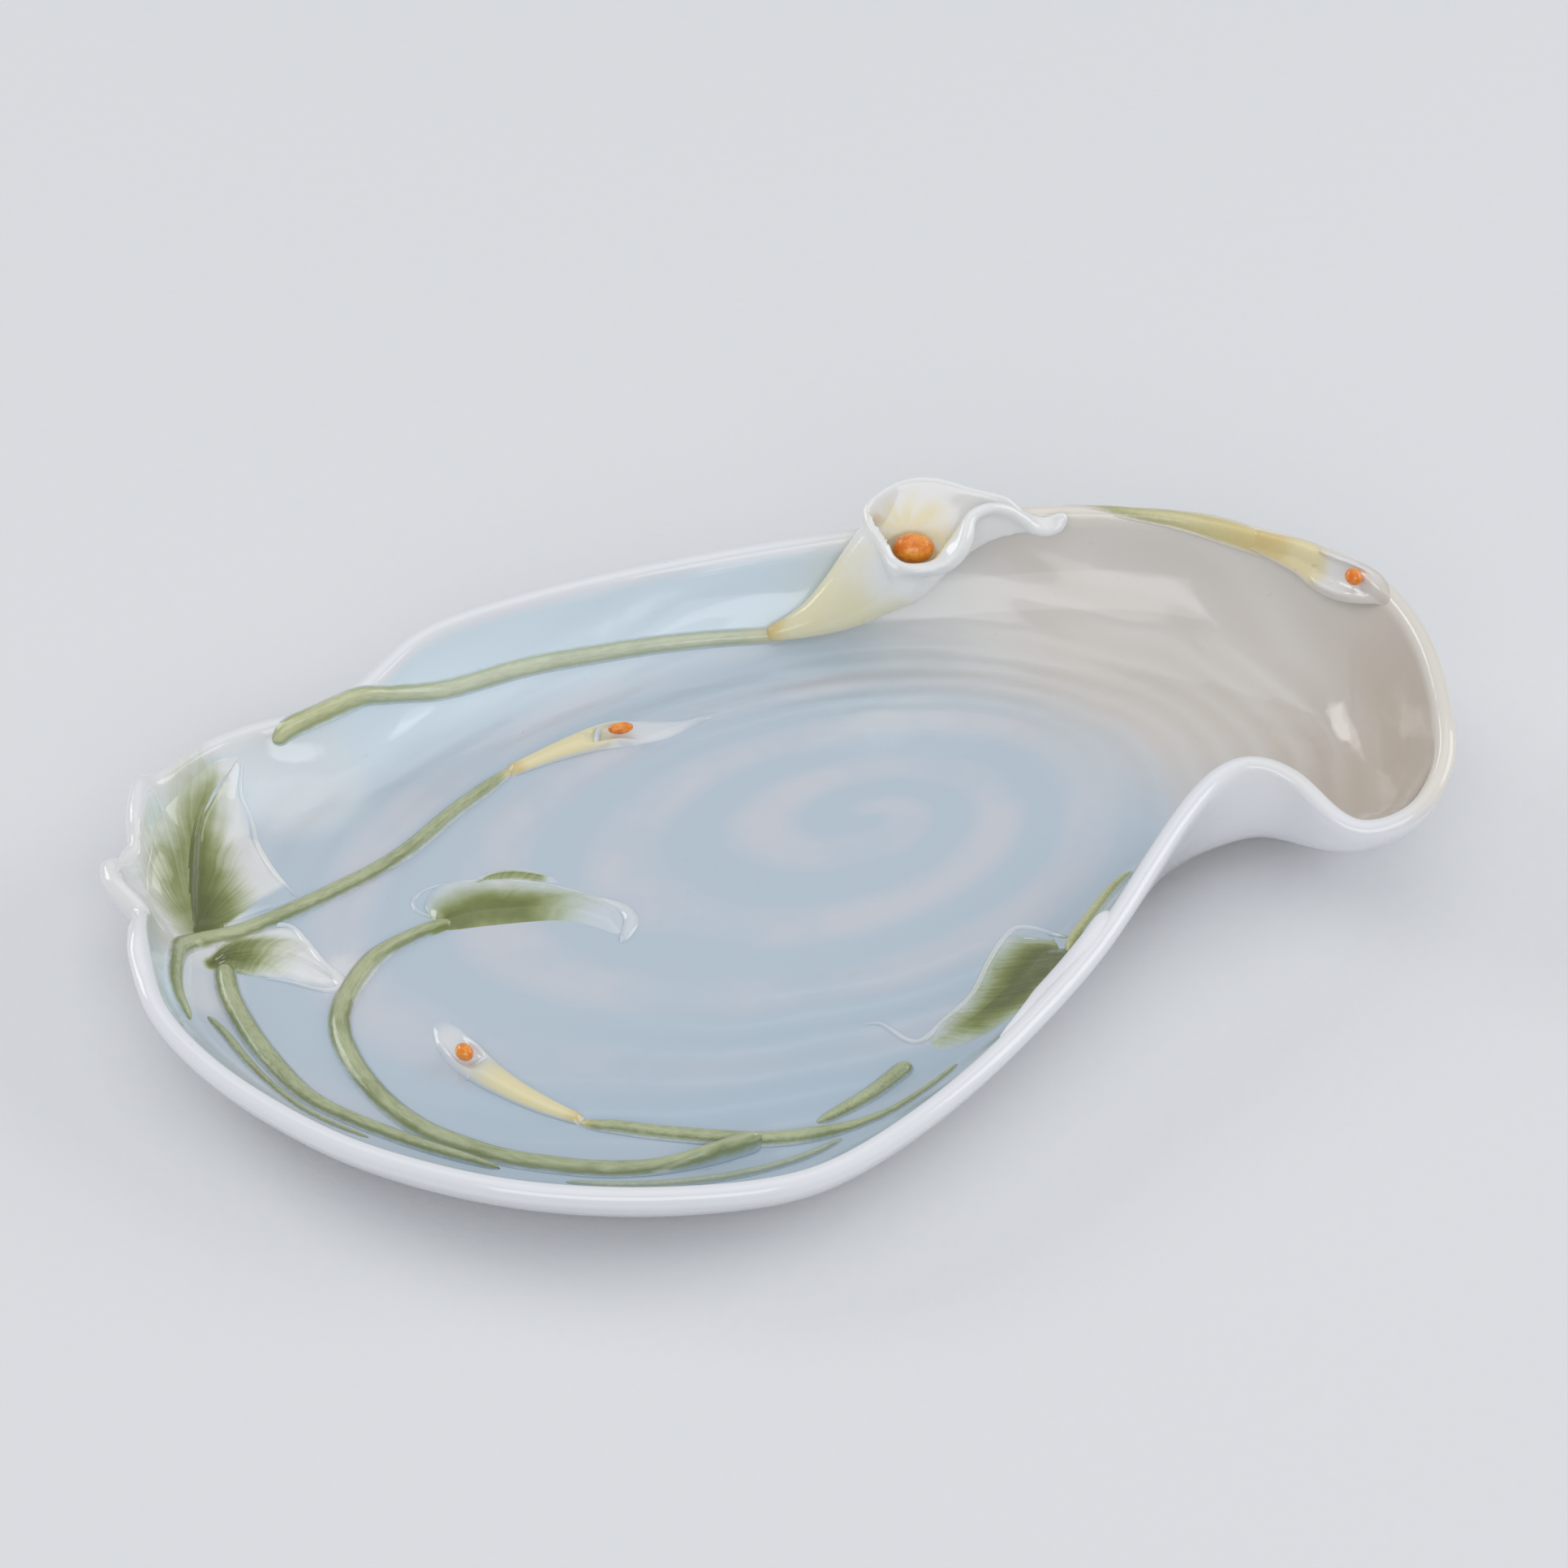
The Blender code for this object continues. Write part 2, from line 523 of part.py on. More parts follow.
def build_leaf(name, lines, ground, material, collection):
    """A thin leaf laid on the dish between its two edges, swollen beside its sunk midrib."""
    left, midrib, right = [smooth_path([(x * LENGTH, y * WIDTH) for x, y in line], LEAF_STEPS) for line in lines]
    rings = []
    for a, m, b in zip(left, midrib, right):
        top = []
        bottom = []
        places = [(Vector(a).lerp(Vector(m), share), share) for share in LEAF_ACROSS_SHARES]
        places += [(Vector(m), 1)]
        places += [(Vector(b).lerp(Vector(m), share), share) for share in reversed(LEAF_ACROSS_SHARES)]
        for place, share in places:
            hit, normal = ground.frame(place.x, place.y)
            rise = LEAF_EDGE + LEAF_SWELL * math.sin(math.pi * min(1, share / LEAF_CREST_SHARE) / 2)
            if share == 1:
                rise -= LEAF_GROOVE
            low = ground.keep_off(hit + normal * SLIP_GAP)
            bottom.append(low)
            top.append(low + normal * rise)
        rings.append(top + list(reversed(bottom)))
    return loft(name, rings, material, collection)


def lily_frame(ground):
    """The large lily's own frame, as a matrix from its shares to the dish."""
    x, y = LILY_PLACE_SHARES
    neck = ground.below(x * LENGTH, y * WIDTH)[0]
    turn = Matrix.Rotation(LILY_TURN, 4, "Z") @ Matrix.Rotation(LILY_LEAN, 4, "X")
    return Matrix.Translation(neck) @ turn @ Matrix.Scale(LILY_REACH, 4)


def hollow(rings, wall, first, lips=()):
    """The rings of an open trumpet's outside and then of its inside, back down to the first ring given.

    Where the edge has thicknesses of its own, the wall swells to them and the edge is round.
    """
    size = len(rings[0])
    last = len(rings) - 1
    edge = []
    inside = []
    for r in range(last, first - 1, -1):
        ahead = rings[min(r + 1, last)]
        behind = rings[r - 1]
        ring = []
        for i in range(size):
            around = rings[r][(i + 1) % size] - rings[r][i - 1]
            along = ahead[i] - behind[i]
            thickness = lips[i] if lips and r == last else wall
            inner = rings[r][i] + around.cross(along).normalized() * thickness
            ring.append(inner)
            if lips and r == last:
                edge.append((rings[r][i] + inner) / 2 + along.normalized() * thickness / 2)
        inside.append(ring)
    return rings + ([edge] if lips else []) + inside


def mouth_lift(ground, frame, out, mouth):
    """How far the mouth stands further out than its table says, so that all of its edge clears the dish."""
    lift = 0
    for point in mouth:
        wall = ground.tree.ray_cast(frame @ Vector((point.x, point.y, 1)), -out)[0]
        if wall is not None:
            lift = max(lift, (frame.inverted() @ wall).z + LILY_RIM_CLEAR / LILY_REACH - point.z)
    return Vector((0, 0, lift))


def build_large_spathe(ground, material, collection):
    """The large lily's trumpet: a loft from its neck to the curled edge of its mouth."""
    frame = lily_frame(ground)
    out = (frame.to_3x3() @ Vector((0, 0, 1))).normalized()
    sides = len(LILY_MOUTH_SHARES)
    angles = [LILY_START_ANGLE - 2 * math.pi * i / sides for i in range(sides)]
    rings = []
    for k, (x, y, half, deep) in enumerate(LILY_TUBE_SHARES):
        before = LILY_TUBE_SHARES[max(k - 1, 0)]
        after = LILY_TUBE_SHARES[min(k + 1, len(LILY_TUBE_SHARES) - 1)]
        along = Vector((after[0] - before[0], after[1] - before[1], 0)).normalized()
        left = Vector((-along.y, along.x, 0))
        wall = ground.tree.ray_cast(frame @ Vector((x, y, 1)), -out)[0]
        height = (frame.inverted() @ wall).z + deep + SLIP_GAP / LILY_REACH
        centre = Vector((x, y, height))
        rings.append([
            centre + left * half * math.cos(angle) + Vector((0, 0, deep * math.sin(angle))) for angle in angles])
    mouth = [Vector(point[:3]) for point in LILY_MOUTH_SHARES]
    lift = mouth_lift(ground, frame, out, mouth)
    mouth = [point + lift for point in mouth]
    rings.append([
        low.lerp(edge, LILY_THROAT_SHARE) + Vector((0, point[3], 0))
        for low, edge, point in zip(rings[-1], mouth, LILY_MOUTH_SHARES)])
    rings.append(mouth)
    lines = [smooth_path([tuple(ring[i]) for ring in rings], LILY_STEPS) for i in range(sides)]
    lying = (len(LILY_TUBE_SHARES) - 1) * LILY_STEPS
    rings = []
    for k in range(len(lines[0])):
        clear = SLIP_GAP if k <= lying else LILY_RIM_CLEAR
        rings.append([ground.keep_off(frame @ Vector(line[k]), clear) for line in lines])
    lips = [point[4] * LILY_LIP for point in LILY_MOUTH_SHARES]
    return loft("large_lily_spathe", hollow(rings, LILY_WALL, LILY_HOLLOW_RING, lips), material, collection)


def build_spadix(name, centre, axis, radius, length, material, collection):
    """A lily's finger: a long ball along the given axis."""
    mesh = bmesh.new()
    shape = Matrix.Translation(centre) @ axis.to_track_quat("Z", "Y").to_matrix().to_4x4()
    shape = shape @ Matrix.Diagonal((radius, radius, length / 2, 1))
    bmesh.ops.create_uvsphere(mesh, u_segments=SPADIX_SEGMENTS, v_segments=SPADIX_RINGS, radius=1, matrix=shape)
    piece = new_piece(name, [], [], material, collection)
    mesh.to_mesh(piece.data)
    mesh.free()
    shade_round(piece)
    return piece


def build_large_spadix(ground, spathe, material, collection):
    """The large lily's finger, lying across the back wall of its throat."""
    frame = lily_frame(ground)
    across, _, out = (Vector(axis).normalized() for axis in frame.to_3x3().col)
    throat = BVHTree.FromPolygons([v.co for v in spathe.data.vertices], [f.vertices for f in spathe.data.polygons])
    seat, normal = throat.ray_cast(frame @ Vector(LILY_SPADIX_SHARES), -out)[:2]
    radius = LILY_SPADIX_SHARE * LILY_REACH
    length = LILY_SPADIX_LENGTH_SHARE * LILY_REACH
    centre = seat + normal * (radius + LILY_SPADIX_CLEAR)
    build_spadix("large_lily_spadix", centre, across, radius, length, material, collection)


def build_small_lily(name, sizes, ground, white, orange, collection):
    """A small lily laid on the dish: its trumpet, whose lower side runs on to a tip, and its finger."""
    points = [(x * LENGTH, y * WIDTH) for x, y in sizes["route_shares"]]
    fine, lengths = measured_path(points)
    total = lengths[-1]
    mouth = total * sizes["mouth_share"]

    def place(distance):
        here = read_path(fine, lengths, distance)
        ahead = read_path(fine, lengths, min(distance + STEM_HEIGHT, total))
        behind = read_path(fine, lengths, max(distance - STEM_HEIGHT, 0))
        hit, normal = ground.frame(*here)
        along = Vector((ahead[0] - behind[0], ahead[1] - behind[1], 0))
        side = along.cross(normal).normalized()
        return hit, normal, side

    rings = []
    for k in range(SMALL_RINGS + 1):
        share = k / SMALL_RINGS
        radius = sizes["neck"] + (sizes["mouth"] - sizes["neck"]) * share ** SMALL_SWELL
        if k == SMALL_RINGS:
            radius *= 1 + SMALL_FLARE_SHARE
        ring = []
        for i in range(SMALL_SIDES):
            angle = 2 * math.pi * i / SMALL_SIDES
            reach = mouth + (total - mouth) * (1 - math.sin(angle)) / 2
            hit, normal, side = place(share * reach)
            rise = radius * sizes["flat_share"] * (1 + math.sin(angle))
            base = ground.drop(hit + side * radius * math.cos(angle), normal)
            ring.append(base + normal * (SLIP_GAP + rise))
        rings.append(ring)
    loft(name + "_spathe", hollow(rings, SMALL_WALL, SMALL_HOLLOW_RING), white, collection)
    hit, normal, side = place(total * sizes["spadix_along_share"])
    height = 2 * SLIP_GAP + SMALL_WALL + sizes["spadix"]
    centre = hit + normal * height + side * sizes["mouth"] * sizes["spadix_aside_share"]
    axis = normal.cross(side)
    build_spadix(name + "_spadix", centre, axis, sizes["spadix"], sizes["spadix_length"], orange, collection)


def centre_on_origin(collection):
    """Hang every piece on an empty, which brings the middle of the whole box over the origin."""
    bpy.context.view_layer.update()
    depsgraph = bpy.context.evaluated_depsgraph_get()
    corners = []
    for piece in collection.objects:
        corners += [tuple(corner) for corner in piece.evaluated_get(depsgraph).bound_box]
    low = [min(corner[axis] for corner in corners) for axis in range(3)]
    high = [max(corner[axis] for corner in corners) for axis in range(3)]
    carrier = bpy.data.objects.new("decorative_dish_origin", None)
    carrier.location = (-(low[0] + high[0]) / 2, -(low[1] + high[1]) / 2, -low[2])
    for piece in list(collection.objects):
        piece.parent = carrier
    collection.objects.link(carrier)


def main():
    """Build the dish."""
    clear_scene()
    collection = bpy.data.collections.new("decorative_dish")
    bpy.context.scene.collection.children.link(collection)
    glaze = new_material("white_glaze", (0.80, 0.83, 0.87), 0.12)
    bisque = new_material("bare_porcelain", (0.85, 0.83, 0.80), 0.7)
    green = new_material("green_glaze", (0.38, 0.46, 0.16), 0.15)
    cream = new_material("cream_glaze", (0.88, 0.84, 0.66), 0.12)
    orange = new_material("orange_glaze", (0.80, 0.28, 0.06), 0.2)
    dish = build_dish_body(glaze, collection)
    build_foot_ring(bisque, collection)
    ground = Ground(dish)
    for name, route in STEM_SHARES.items():
        build_stem(name, route, ground, green, collection)
    for name, lines in LEAF_SHARES.items():
        build_leaf(name, lines, ground, green, collection)
    spathe = build_large_spathe(ground, cream, collection)
    build_large_spadix(ground, spathe, orange, collection)
    for name, sizes in SMALL_LILIES.items():
        build_small_lily(name, sizes, ground, cream, orange, collection)
    centre_on_origin(collection)


main()
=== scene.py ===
"""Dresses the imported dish: glazed porcelain in the outline of a curling wave, with arum lilies in slip.

Metres, +Z up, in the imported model's own frame. Tables of places are in millimetres of that frame.
"""
import logging
import math
from bisect import bisect_left
from dataclasses import dataclass
from enum import Enum
from functools import cached_property

import bpy
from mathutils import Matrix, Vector
from mathutils.bvhtree import BVHTree
from mathutils.kdtree import KDTree


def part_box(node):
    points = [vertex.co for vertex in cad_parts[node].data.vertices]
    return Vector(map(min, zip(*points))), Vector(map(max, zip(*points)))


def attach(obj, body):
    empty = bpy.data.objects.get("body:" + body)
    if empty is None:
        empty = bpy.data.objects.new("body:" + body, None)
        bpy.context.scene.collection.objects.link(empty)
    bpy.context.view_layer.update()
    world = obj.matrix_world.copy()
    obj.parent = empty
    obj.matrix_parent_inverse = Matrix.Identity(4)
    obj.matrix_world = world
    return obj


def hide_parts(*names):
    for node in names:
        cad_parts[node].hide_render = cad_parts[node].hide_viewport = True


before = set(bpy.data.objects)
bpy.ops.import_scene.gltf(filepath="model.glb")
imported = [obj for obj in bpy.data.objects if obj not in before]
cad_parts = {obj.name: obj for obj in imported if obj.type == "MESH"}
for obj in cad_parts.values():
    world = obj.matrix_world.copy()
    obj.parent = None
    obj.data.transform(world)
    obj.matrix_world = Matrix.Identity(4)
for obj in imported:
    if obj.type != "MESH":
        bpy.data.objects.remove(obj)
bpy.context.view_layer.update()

MM = 0.001
BODY = "root"
LOG = logging.getLogger("dish")

Colour = tuple[float, float, float]
Place = tuple[float, float]
Piece = bpy.types.Object
Material = bpy.types.Material
Laid = tuple[Vector, tuple]
Value = "Flow | float | tuple"

# How thick a laid sheet is, and how far its edge sinks into the glaze, in millimetres
SHEET_DEPTH = 0.6
SHEET_SINK = 0.08
COIL_SINK = 0.06


class Slot(Enum):
    """The record's material slots."""

    WHITE = "white_glaze"
    BARE = "bare_porcelain"
    GREEN = "green_glaze"
    CREAM = "cream_glaze"
    ORANGE = "orange_glaze"


def shade(red: int, green: int, blue: int) -> Colour:
    """A colour as a shader takes it, from its three parts between 0 and 255."""
    return tuple(((part / 255 + 0.055) / 1.055) ** 2.4 if part > 10 else part / 255 / 12.92
                 for part in (red, green, blue))


def fade(value: float, low: float, high: float) -> float:
    """How far a value is from low to high, eased at both ends.

    Args:
        value: The value.
        low: Where the result is 0. It may be the greater of the two.
        high: Where the result is 1.

    Returns:
        A number from 0 to 1.
    """
    share = min(1.0, max(0.0, (value - low) / (high - low)))
    return share * share * (3 - 2 * share)


def read_rows(rows: tuple, place: float) -> tuple:
    """A table's numbers at a place in its first column, eased from row to row.

    Args:
        rows: The table, its first column rising.
        place: The place.

    Returns:
        The other columns' numbers.
    """
    for low, high in zip(rows, rows[1:]):
        if place <= high[0]:
            share = fade(place, low[0], high[0])
            return tuple(a + (b - a) * share for a, b in zip(low[1:], high[1:]))
    return tuple(rows[-1][1:])


# Shader maths


class Flow:
    """A value on its way through a material, on which operators build Math nodes."""

    def __init__(self, bench: "Bench", socket: bpy.types.NodeSocket) -> None:
        """Wraps a node's output socket."""
        self.bench = bench
        self.socket = socket

    def math(self, operation: str, *others: Value) -> "Flow":
        """A Math node of this value and the others."""
        return self.bench.node("ShaderNodeMath", {"operation": operation}, dict(enumerate((self, *others))))

    def __add__(self, other: Value) -> "Flow":
        """This value plus the other."""
        return self.math("ADD", other)

    def __sub__(self, other: Value) -> "Flow":
        """This value less the other."""
        return self.math("SUBTRACT", other)

    def __rsub__(self, other: float) -> "Flow":
        """The other less this value."""
        return self.bench.node("ShaderNodeMath", {"operation": "SUBTRACT"}, {0: other, 1: self})

    def __mul__(self, other: Value) -> "Flow":
        """This value times the other."""
        return self.math("MULTIPLY", other)

    def __pow__(self, other: Value) -> "Flow":
        """This value to a power."""
        return self.math("POWER", other)

    __radd__ = __add__
    __rmul__ = __mul__


class Bench:
    """A material under work: its nodes and the values that flow between them."""

    def __init__(self, name: str) -> None:
        """Starts a material without nodes.

        Args:
            name: Its name.
        """
        self.material = bpy.data.materials.new(name)
        self.material.use_nodes = True
        self.tree = self.material.node_tree
        self.tree.nodes.clear()

    def node(
            self, kind: str, settings: dict | None = None, sockets: dict | None = None,
            output: int | str = 0) -> Flow:
        """Adds a node.

        Args:
            kind: The node's type.
            settings: Its settings, set first.
            sockets: Its inputs by name or number: values, or flows to link.
            output: The output to go on from.

        Returns:
            The flow from that output.
        """
        node = self.tree.nodes.new(kind)
        for name, setting in (settings or {}).items():
            setattr(node, name, setting)
        for name, value in (sockets or {}).items():
            if isinstance(value, Flow):
                self.tree.links.new(value.socket, node.inputs[name])
            elif isinstance(value, tuple) and len(node.inputs[name].default_value) == 4:
                node.inputs[name].default_value = (*value, 1.0)
            else:
                node.inputs[name].default_value = value
        return Flow(self, node.outputs[output])

    @cached_property
    def place(self) -> Flow:
        """The object's own coordinates."""
        return self.node("ShaderNodeTexCoord", output="Object")

    @cached_property
    def axes(self) -> tuple[Flow, ...]:
        """The object's own x, y and z in millimetres."""
        return tuple(part * 1000.0 for part in self.split(self.place))

    def split(self, vector: Flow) -> tuple[Flow, ...]:
        """A vector's three parts."""
        node = self.node("ShaderNodeSeparateXYZ", None, {0: vector}).socket.node
        return tuple(Flow(self, output) for output in node.outputs)

    def join(self, x: Value, y: Value) -> Flow:
        """A vector of two values."""
        return self.node("ShaderNodeCombineXYZ", None, {0: x, 1: y})

    def paint(self, name: str) -> Flow:
        """A painted attribute of the mesh, from 0 to 1."""
        return self.node("ShaderNodeAttribute", {"attribute_name": name}, output="Fac")

    def ease(self, value: Flow, low: float, high: float) -> Flow:
        """The value eased from 0 at low to 1 at high."""
        return self.node(
            "ShaderNodeMapRange", {"interpolation_type": "SMOOTHSTEP"},
            {"Value": value, "From Min": low, "From Max": high, "To Min": 0.0, "To Max": 1.0})

    def blend(self, share: Value, first: Value, second: Value) -> Flow:
        """A mix of two colours, through the Mix node's colour sockets."""
        return self.node("ShaderNodeMix", {"data_type": "RGBA"}, {0: share, 6: first, 7: second}, 2)

    def grain(
            self, scale: float, detail: float = 2.0, rough: float = 0.5,
            vector: Flow | None = None) -> Flow:
        """Noise of about 0 to 1.

        Args:
            scale: Its scale per metre.
            detail: Its finer layers.
            rough: How strong they are.
            vector: What it reads in place of the object's own coordinates.

        Returns:
            The noise.
        """
        return self.node("ShaderNodeTexNoise", None, {
            "Vector": vector or self.place, "Scale": scale, "Detail": detail, "Roughness": rough})

    def surface(self, colour: Value, rough: Value, height: Flow, depth: float, coat: float = 0.0) -> Material:
        """Finishes the material with one shader.

        Args:
            colour: The base colour.
            rough: The roughness.
            height: The relief, as shares of its depth.
            depth: The relief's depth in metres.
            coat: The weight of the clear glaze over it.

        Returns:
            The finished material.
        """
        normal = self.node("ShaderNodeBump", None, {"Height": height, "Strength": 1.0, "Distance": depth})
        shader = self.node("ShaderNodeBsdfPrincipled", None, {
            "Base Color": colour, "Roughness": rough, "Normal": normal, "Coat Weight": coat,
            "Coat Roughness": 0.06})
        end = self.tree.nodes.new("ShaderNodeOutputMaterial")
        self.tree.links.new(shader.socket, end.inputs["Surface"])
        return self.material


# Finishes


@dataclass(frozen=True)
class Pool:
    """The well's colours: blue and lavender bands that turn about a centre, darker blue towards the front as
    painted shade, and a warm right lobe that darkens further in, partly its own deeper tone and partly
    painted shade.

    Its places and lengths are in millimetres.
    """

    blue: Colour = shade(190, 204, 216)
    lavender: Colour = shade(206, 209, 217)
    wall: Colour = shade(222, 237, 247)
    # a darker blue painted towards the front of the well: painted shade
    front_shade: Colour = shade(174, 192, 207)
    warm: Colour = shade(226, 220, 214)
    # the lobe's far end: partly the glaze's own deeper tone, partly painted shade
    warm_deep_and_shade: Colour = shade(199, 184, 168)
    centre: Place = (14.6, 12.0)
    drift: Place = (0.20, 0.13)
    flatness: float = 1.5
    period: float = 17.0
    ripple_period: float = 6.4
    wander: tuple[float, float, float] = (7.0, 5.0, 10.0)
    fading: Place = (60.0, 95.0)
    far_wall: Place = (38.0, 62.0)
    wall_rise: Place = (7.0, 12.5)
    front: Place = (8.0, 44.0)
    lobe: Place = (44.0, 76.0)
    lobe_depth: Place = (60.0, 102.0)
    ripples_from: Place = (30.0, 45.0)
    ripples_to: Place = (78.0, 96.0)

    def colour(self, bench: Bench) -> tuple[Flow, Flow]:
        """Mixes the well's colour.

        Args:
            bench: The material under work.

        Returns:
            The colour, and the height of the ripples from 0 to 1.
        """
        x, y, z = bench.axes
        sway = bench.grain(38.0) - 0.5
        across = x - self.centre[0] + sway * self.wander[0]
        up = (y - self.centre[1]) * self.flatness + sway * self.wander[1]
        near = (across ** 2.0 + up ** 2.0) ** 0.5
        across = across + near * self.drift[0]
        up = up + near * self.drift[1]
        reach = (across ** 2.0 + up ** 2.0) ** 0.5
        turn = up.math("ARCTAN2", across)
        wave = (reach * (2 * math.pi / self.period) + turn).math("SINE") * 0.5 + 0.5
        patches = bench.ease(bench.grain(55.0, 3.0, 0.6), 0.35, 0.65)
        bands = bench.ease(wave, 0.10, 1.0) * (0.25 + patches * 0.75)
        bands = bands * (1.0 - bench.ease(reach, *self.fading) * 0.7)
        colour = bench.blend(bands, self.blue, self.lavender)
        high = bench.ease(z + bench.ease(y - x * 0.3, *self.far_wall) * 3.0, *self.wall_rise)
        colour = bench.blend(high * 0.95, colour, self.wall)
        # Darker blue towards the front: painted shade.
        colour = bench.blend(bench.ease(y * -1.0, *self.front) * 0.6, colour, self.front_shade)
        warmth = bench.ease(x + y * 0.55 + sway * self.wander[2], *self.lobe)
        ridge = (reach * (2 * math.pi / self.ripple_period) + turn).math("SINE") * 0.5 + 0.5
        # Darker towards the lobe's far end: partly its own deeper tone, partly painted shade; the ripples add
        # their own tone.
        depth = ridge * 0.15 + bench.ease(x - y * 0.9, *self.lobe_depth) * 0.85
        colour = bench.blend(warmth, colour, bench.blend(depth, self.warm, self.warm_deep_and_shade))
        ring = bench.ease(reach, *self.ripples_from) * (1.0 - bench.ease(reach, *self.ripples_to))
        return colour, ridge * ring


@dataclass(frozen=True)
class LeafPaint:
    """Green brushed outwards from a midrib, and margins left white.

    It reads the "leaf" attribute: how far a point is through the green's soft edge, where it is across
    the brush strokes, and how white the glaze under it is.
    """

    deep: Colour = shade(84, 94, 12)
    light: Colour = shade(164, 176, 102)
    milk: Colour = shade(234, 234, 233)

    def over(self, bench: Bench, ground: Flow) -> tuple[Flow, Flow]:
        """Paints over a colour.

        Args:
            bench: The material under work.
            ground: The colour under the paint.

        Returns:
            The colour, and the height of the strokes from 0 to 1.
        """
        spread = bench.node("ShaderNodeAttribute", {"attribute_name": "leaf"}, output="Vector")
        through, stroke, milk = bench.split(spread)
        stroke = stroke + (bench.grain(140.0) - 0.5) * 1.2
        streak = bench.grain(1.0, 3.0, 0.6, bench.join(through * 0.5, stroke * 1.6))
        cloud = bench.grain(240.0, 3.0, 0.6)
        edge = through + (streak - 0.5) * 0.7 + (cloud - 0.5) * 0.45
        cover = 1.0 - bench.ease(edge, -0.30, 1.0)
        depth = 1.0 - bench.ease(edge, -0.95, 0.7)
        green = bench.blend(depth, self.light, self.deep)
        return bench.blend(cover * 0.97, bench.blend(milk, ground, self.milk), green), streak * cover


@dataclass(frozen=True)
class Glaze:
    """A glaze over the dish's own colours, to which it can thin out."""

    pool: Pool = Pool()
    leaf: LeafPaint = LeafPaint()

    def ground(self, bench: Bench) -> tuple[Flow, Flow]:
        """The pool's colour with the leaves painted on it, and the height of their strokes."""
        return self.leaf.over(bench, self.pool.colour(bench)[0])


@dataclass(frozen=True)
class LeafGlaze(Glaze):
    """A leaf's glaze: its paint over the dish's own colour."""

    name: str = "leaf_glaze"

    def make(self) -> Material:
        """Builds the material.

        Returns:
            The material.
        """
        bench = Bench(self.name)
        colour, strokes = self.ground(bench)
        uneven = bench.grain(180.0)
        return bench.surface(colour, 0.10 + uneven * 0.08, strokes * 0.5 + uneven * 0.7, 0.0002, 0.6)


@dataclass(frozen=True)
class WellGlaze(Glaze):
    """The dish's glaze: the pool inside, white outside and over the lip."""

    white: Colour = shade(236, 237, 241)
    cream: Colour = shade(232, 226, 216)
    speck: Colour = shade(150, 150, 150)
    lobe: Place = (46.0, 70.0)
    lip: Place = (17.0, 22.0)
    name: str = "dish_glaze"

    def make(self) -> Material:
        """Builds the material.

        Returns:
            The material.
        """
        bench = Bench(self.name)
        x, y, z = bench.axes
        colour, ridge = self.pool.colour(bench)
        inside = bench.paint("well")
        lobe = bench.ease(x + y * 0.55, *self.lobe) * bench.ease(z, *self.lip)
        colour = bench.blend(1.0 - inside, colour, bench.blend(lobe, self.white, self.cream))
        colour = self.leaf.over(bench, colour)[0]
        specks = bench.ease(bench.grain(900.0, 1.0), 0.74, 0.80)
        colour = bench.blend(specks * 0.10, colour, self.speck)
        height = ridge * inside * 0.35 + bench.grain(60.0, 3.0, 0.55) * 0.6
        return bench.surface(colour, 0.10 + bench.grain(120.0, 3.0) * 0.08, height, 0.0006, 0.6)


@dataclass(frozen=True)
class BareFoot:
    """Unglazed porcelain, fine grained."""

    colour: Colour = shade(226, 221, 212)
    stain: Colour = shade(206, 198, 184)

    def make(self) -> Material:
        """Builds the material.

        Returns:
            The material.
        """
        bench = Bench("bare_foot")
        stains = bench.ease(bench.grain(90.0, 4.0), 0.45, 0.75)
        grain = bench.grain(2600.0)
        return bench.surface(bench.blend(stains, self.colour, self.stain), 0.6 + grain * 0.2, grain, 0.00008)


@dataclass(frozen=True)
class StemGlaze(Glaze):
    """Green slip, lighter on its crown as a painted highlight and deeper green at its foot as painted shade,
    that thins to the dish's own glaze at its foot and ripens to yellow at a lily.
    """

    # deep is also the painted shade at a coil's foot, and light the painted highlight on its crown
    deep: Colour = shade(120, 131, 74)
    light: Colour = shade(183, 190, 148)
    ripe: Colour = shade(226, 206, 136)
    name: str = "stem_glaze"

    def make(self) -> Material:
        """Builds the material.

        Returns:
            The material.
        """
        bench = Bench(self.name)
        across, along = bench.split(bench.node("ShaderNodeUVMap", {"uv_map": "sheet"}))[:2]
        streaks = bench.grain(1.0, 3.0, 0.6, bench.join(across * 9.0, along * 40.0))
        patches = bench.grain(130.0)
        paint = bench.paint("paint")
        # The coil's crown is painted lighter, a painted highlight, and its foot deeper green, painted shade;
        # the streaks and patches are the slip's own uneven tone.
        crown_highlight = bench.ease(paint, 0.45, 1.0)
        bright = bench.ease(streaks * 0.7 + patches * 0.7 + crown_highlight * 0.45, 0.65, 1.35)
        green = bench.blend(bright, self.deep, self.light)
        green = bench.blend(bench.paint("ripe"), green, self.ripe)
        cover = bench.ease(paint + (streaks - 0.5) * 0.45, 0.03, 0.65) * bench.paint("cover")
        colour = bench.blend(cover, self.ground(bench)[0], green)
        return bench.surface(colour, 0.12 + patches * 0.08, streaks * 0.6 + patches * 0.4, 0.0001, 0.5)


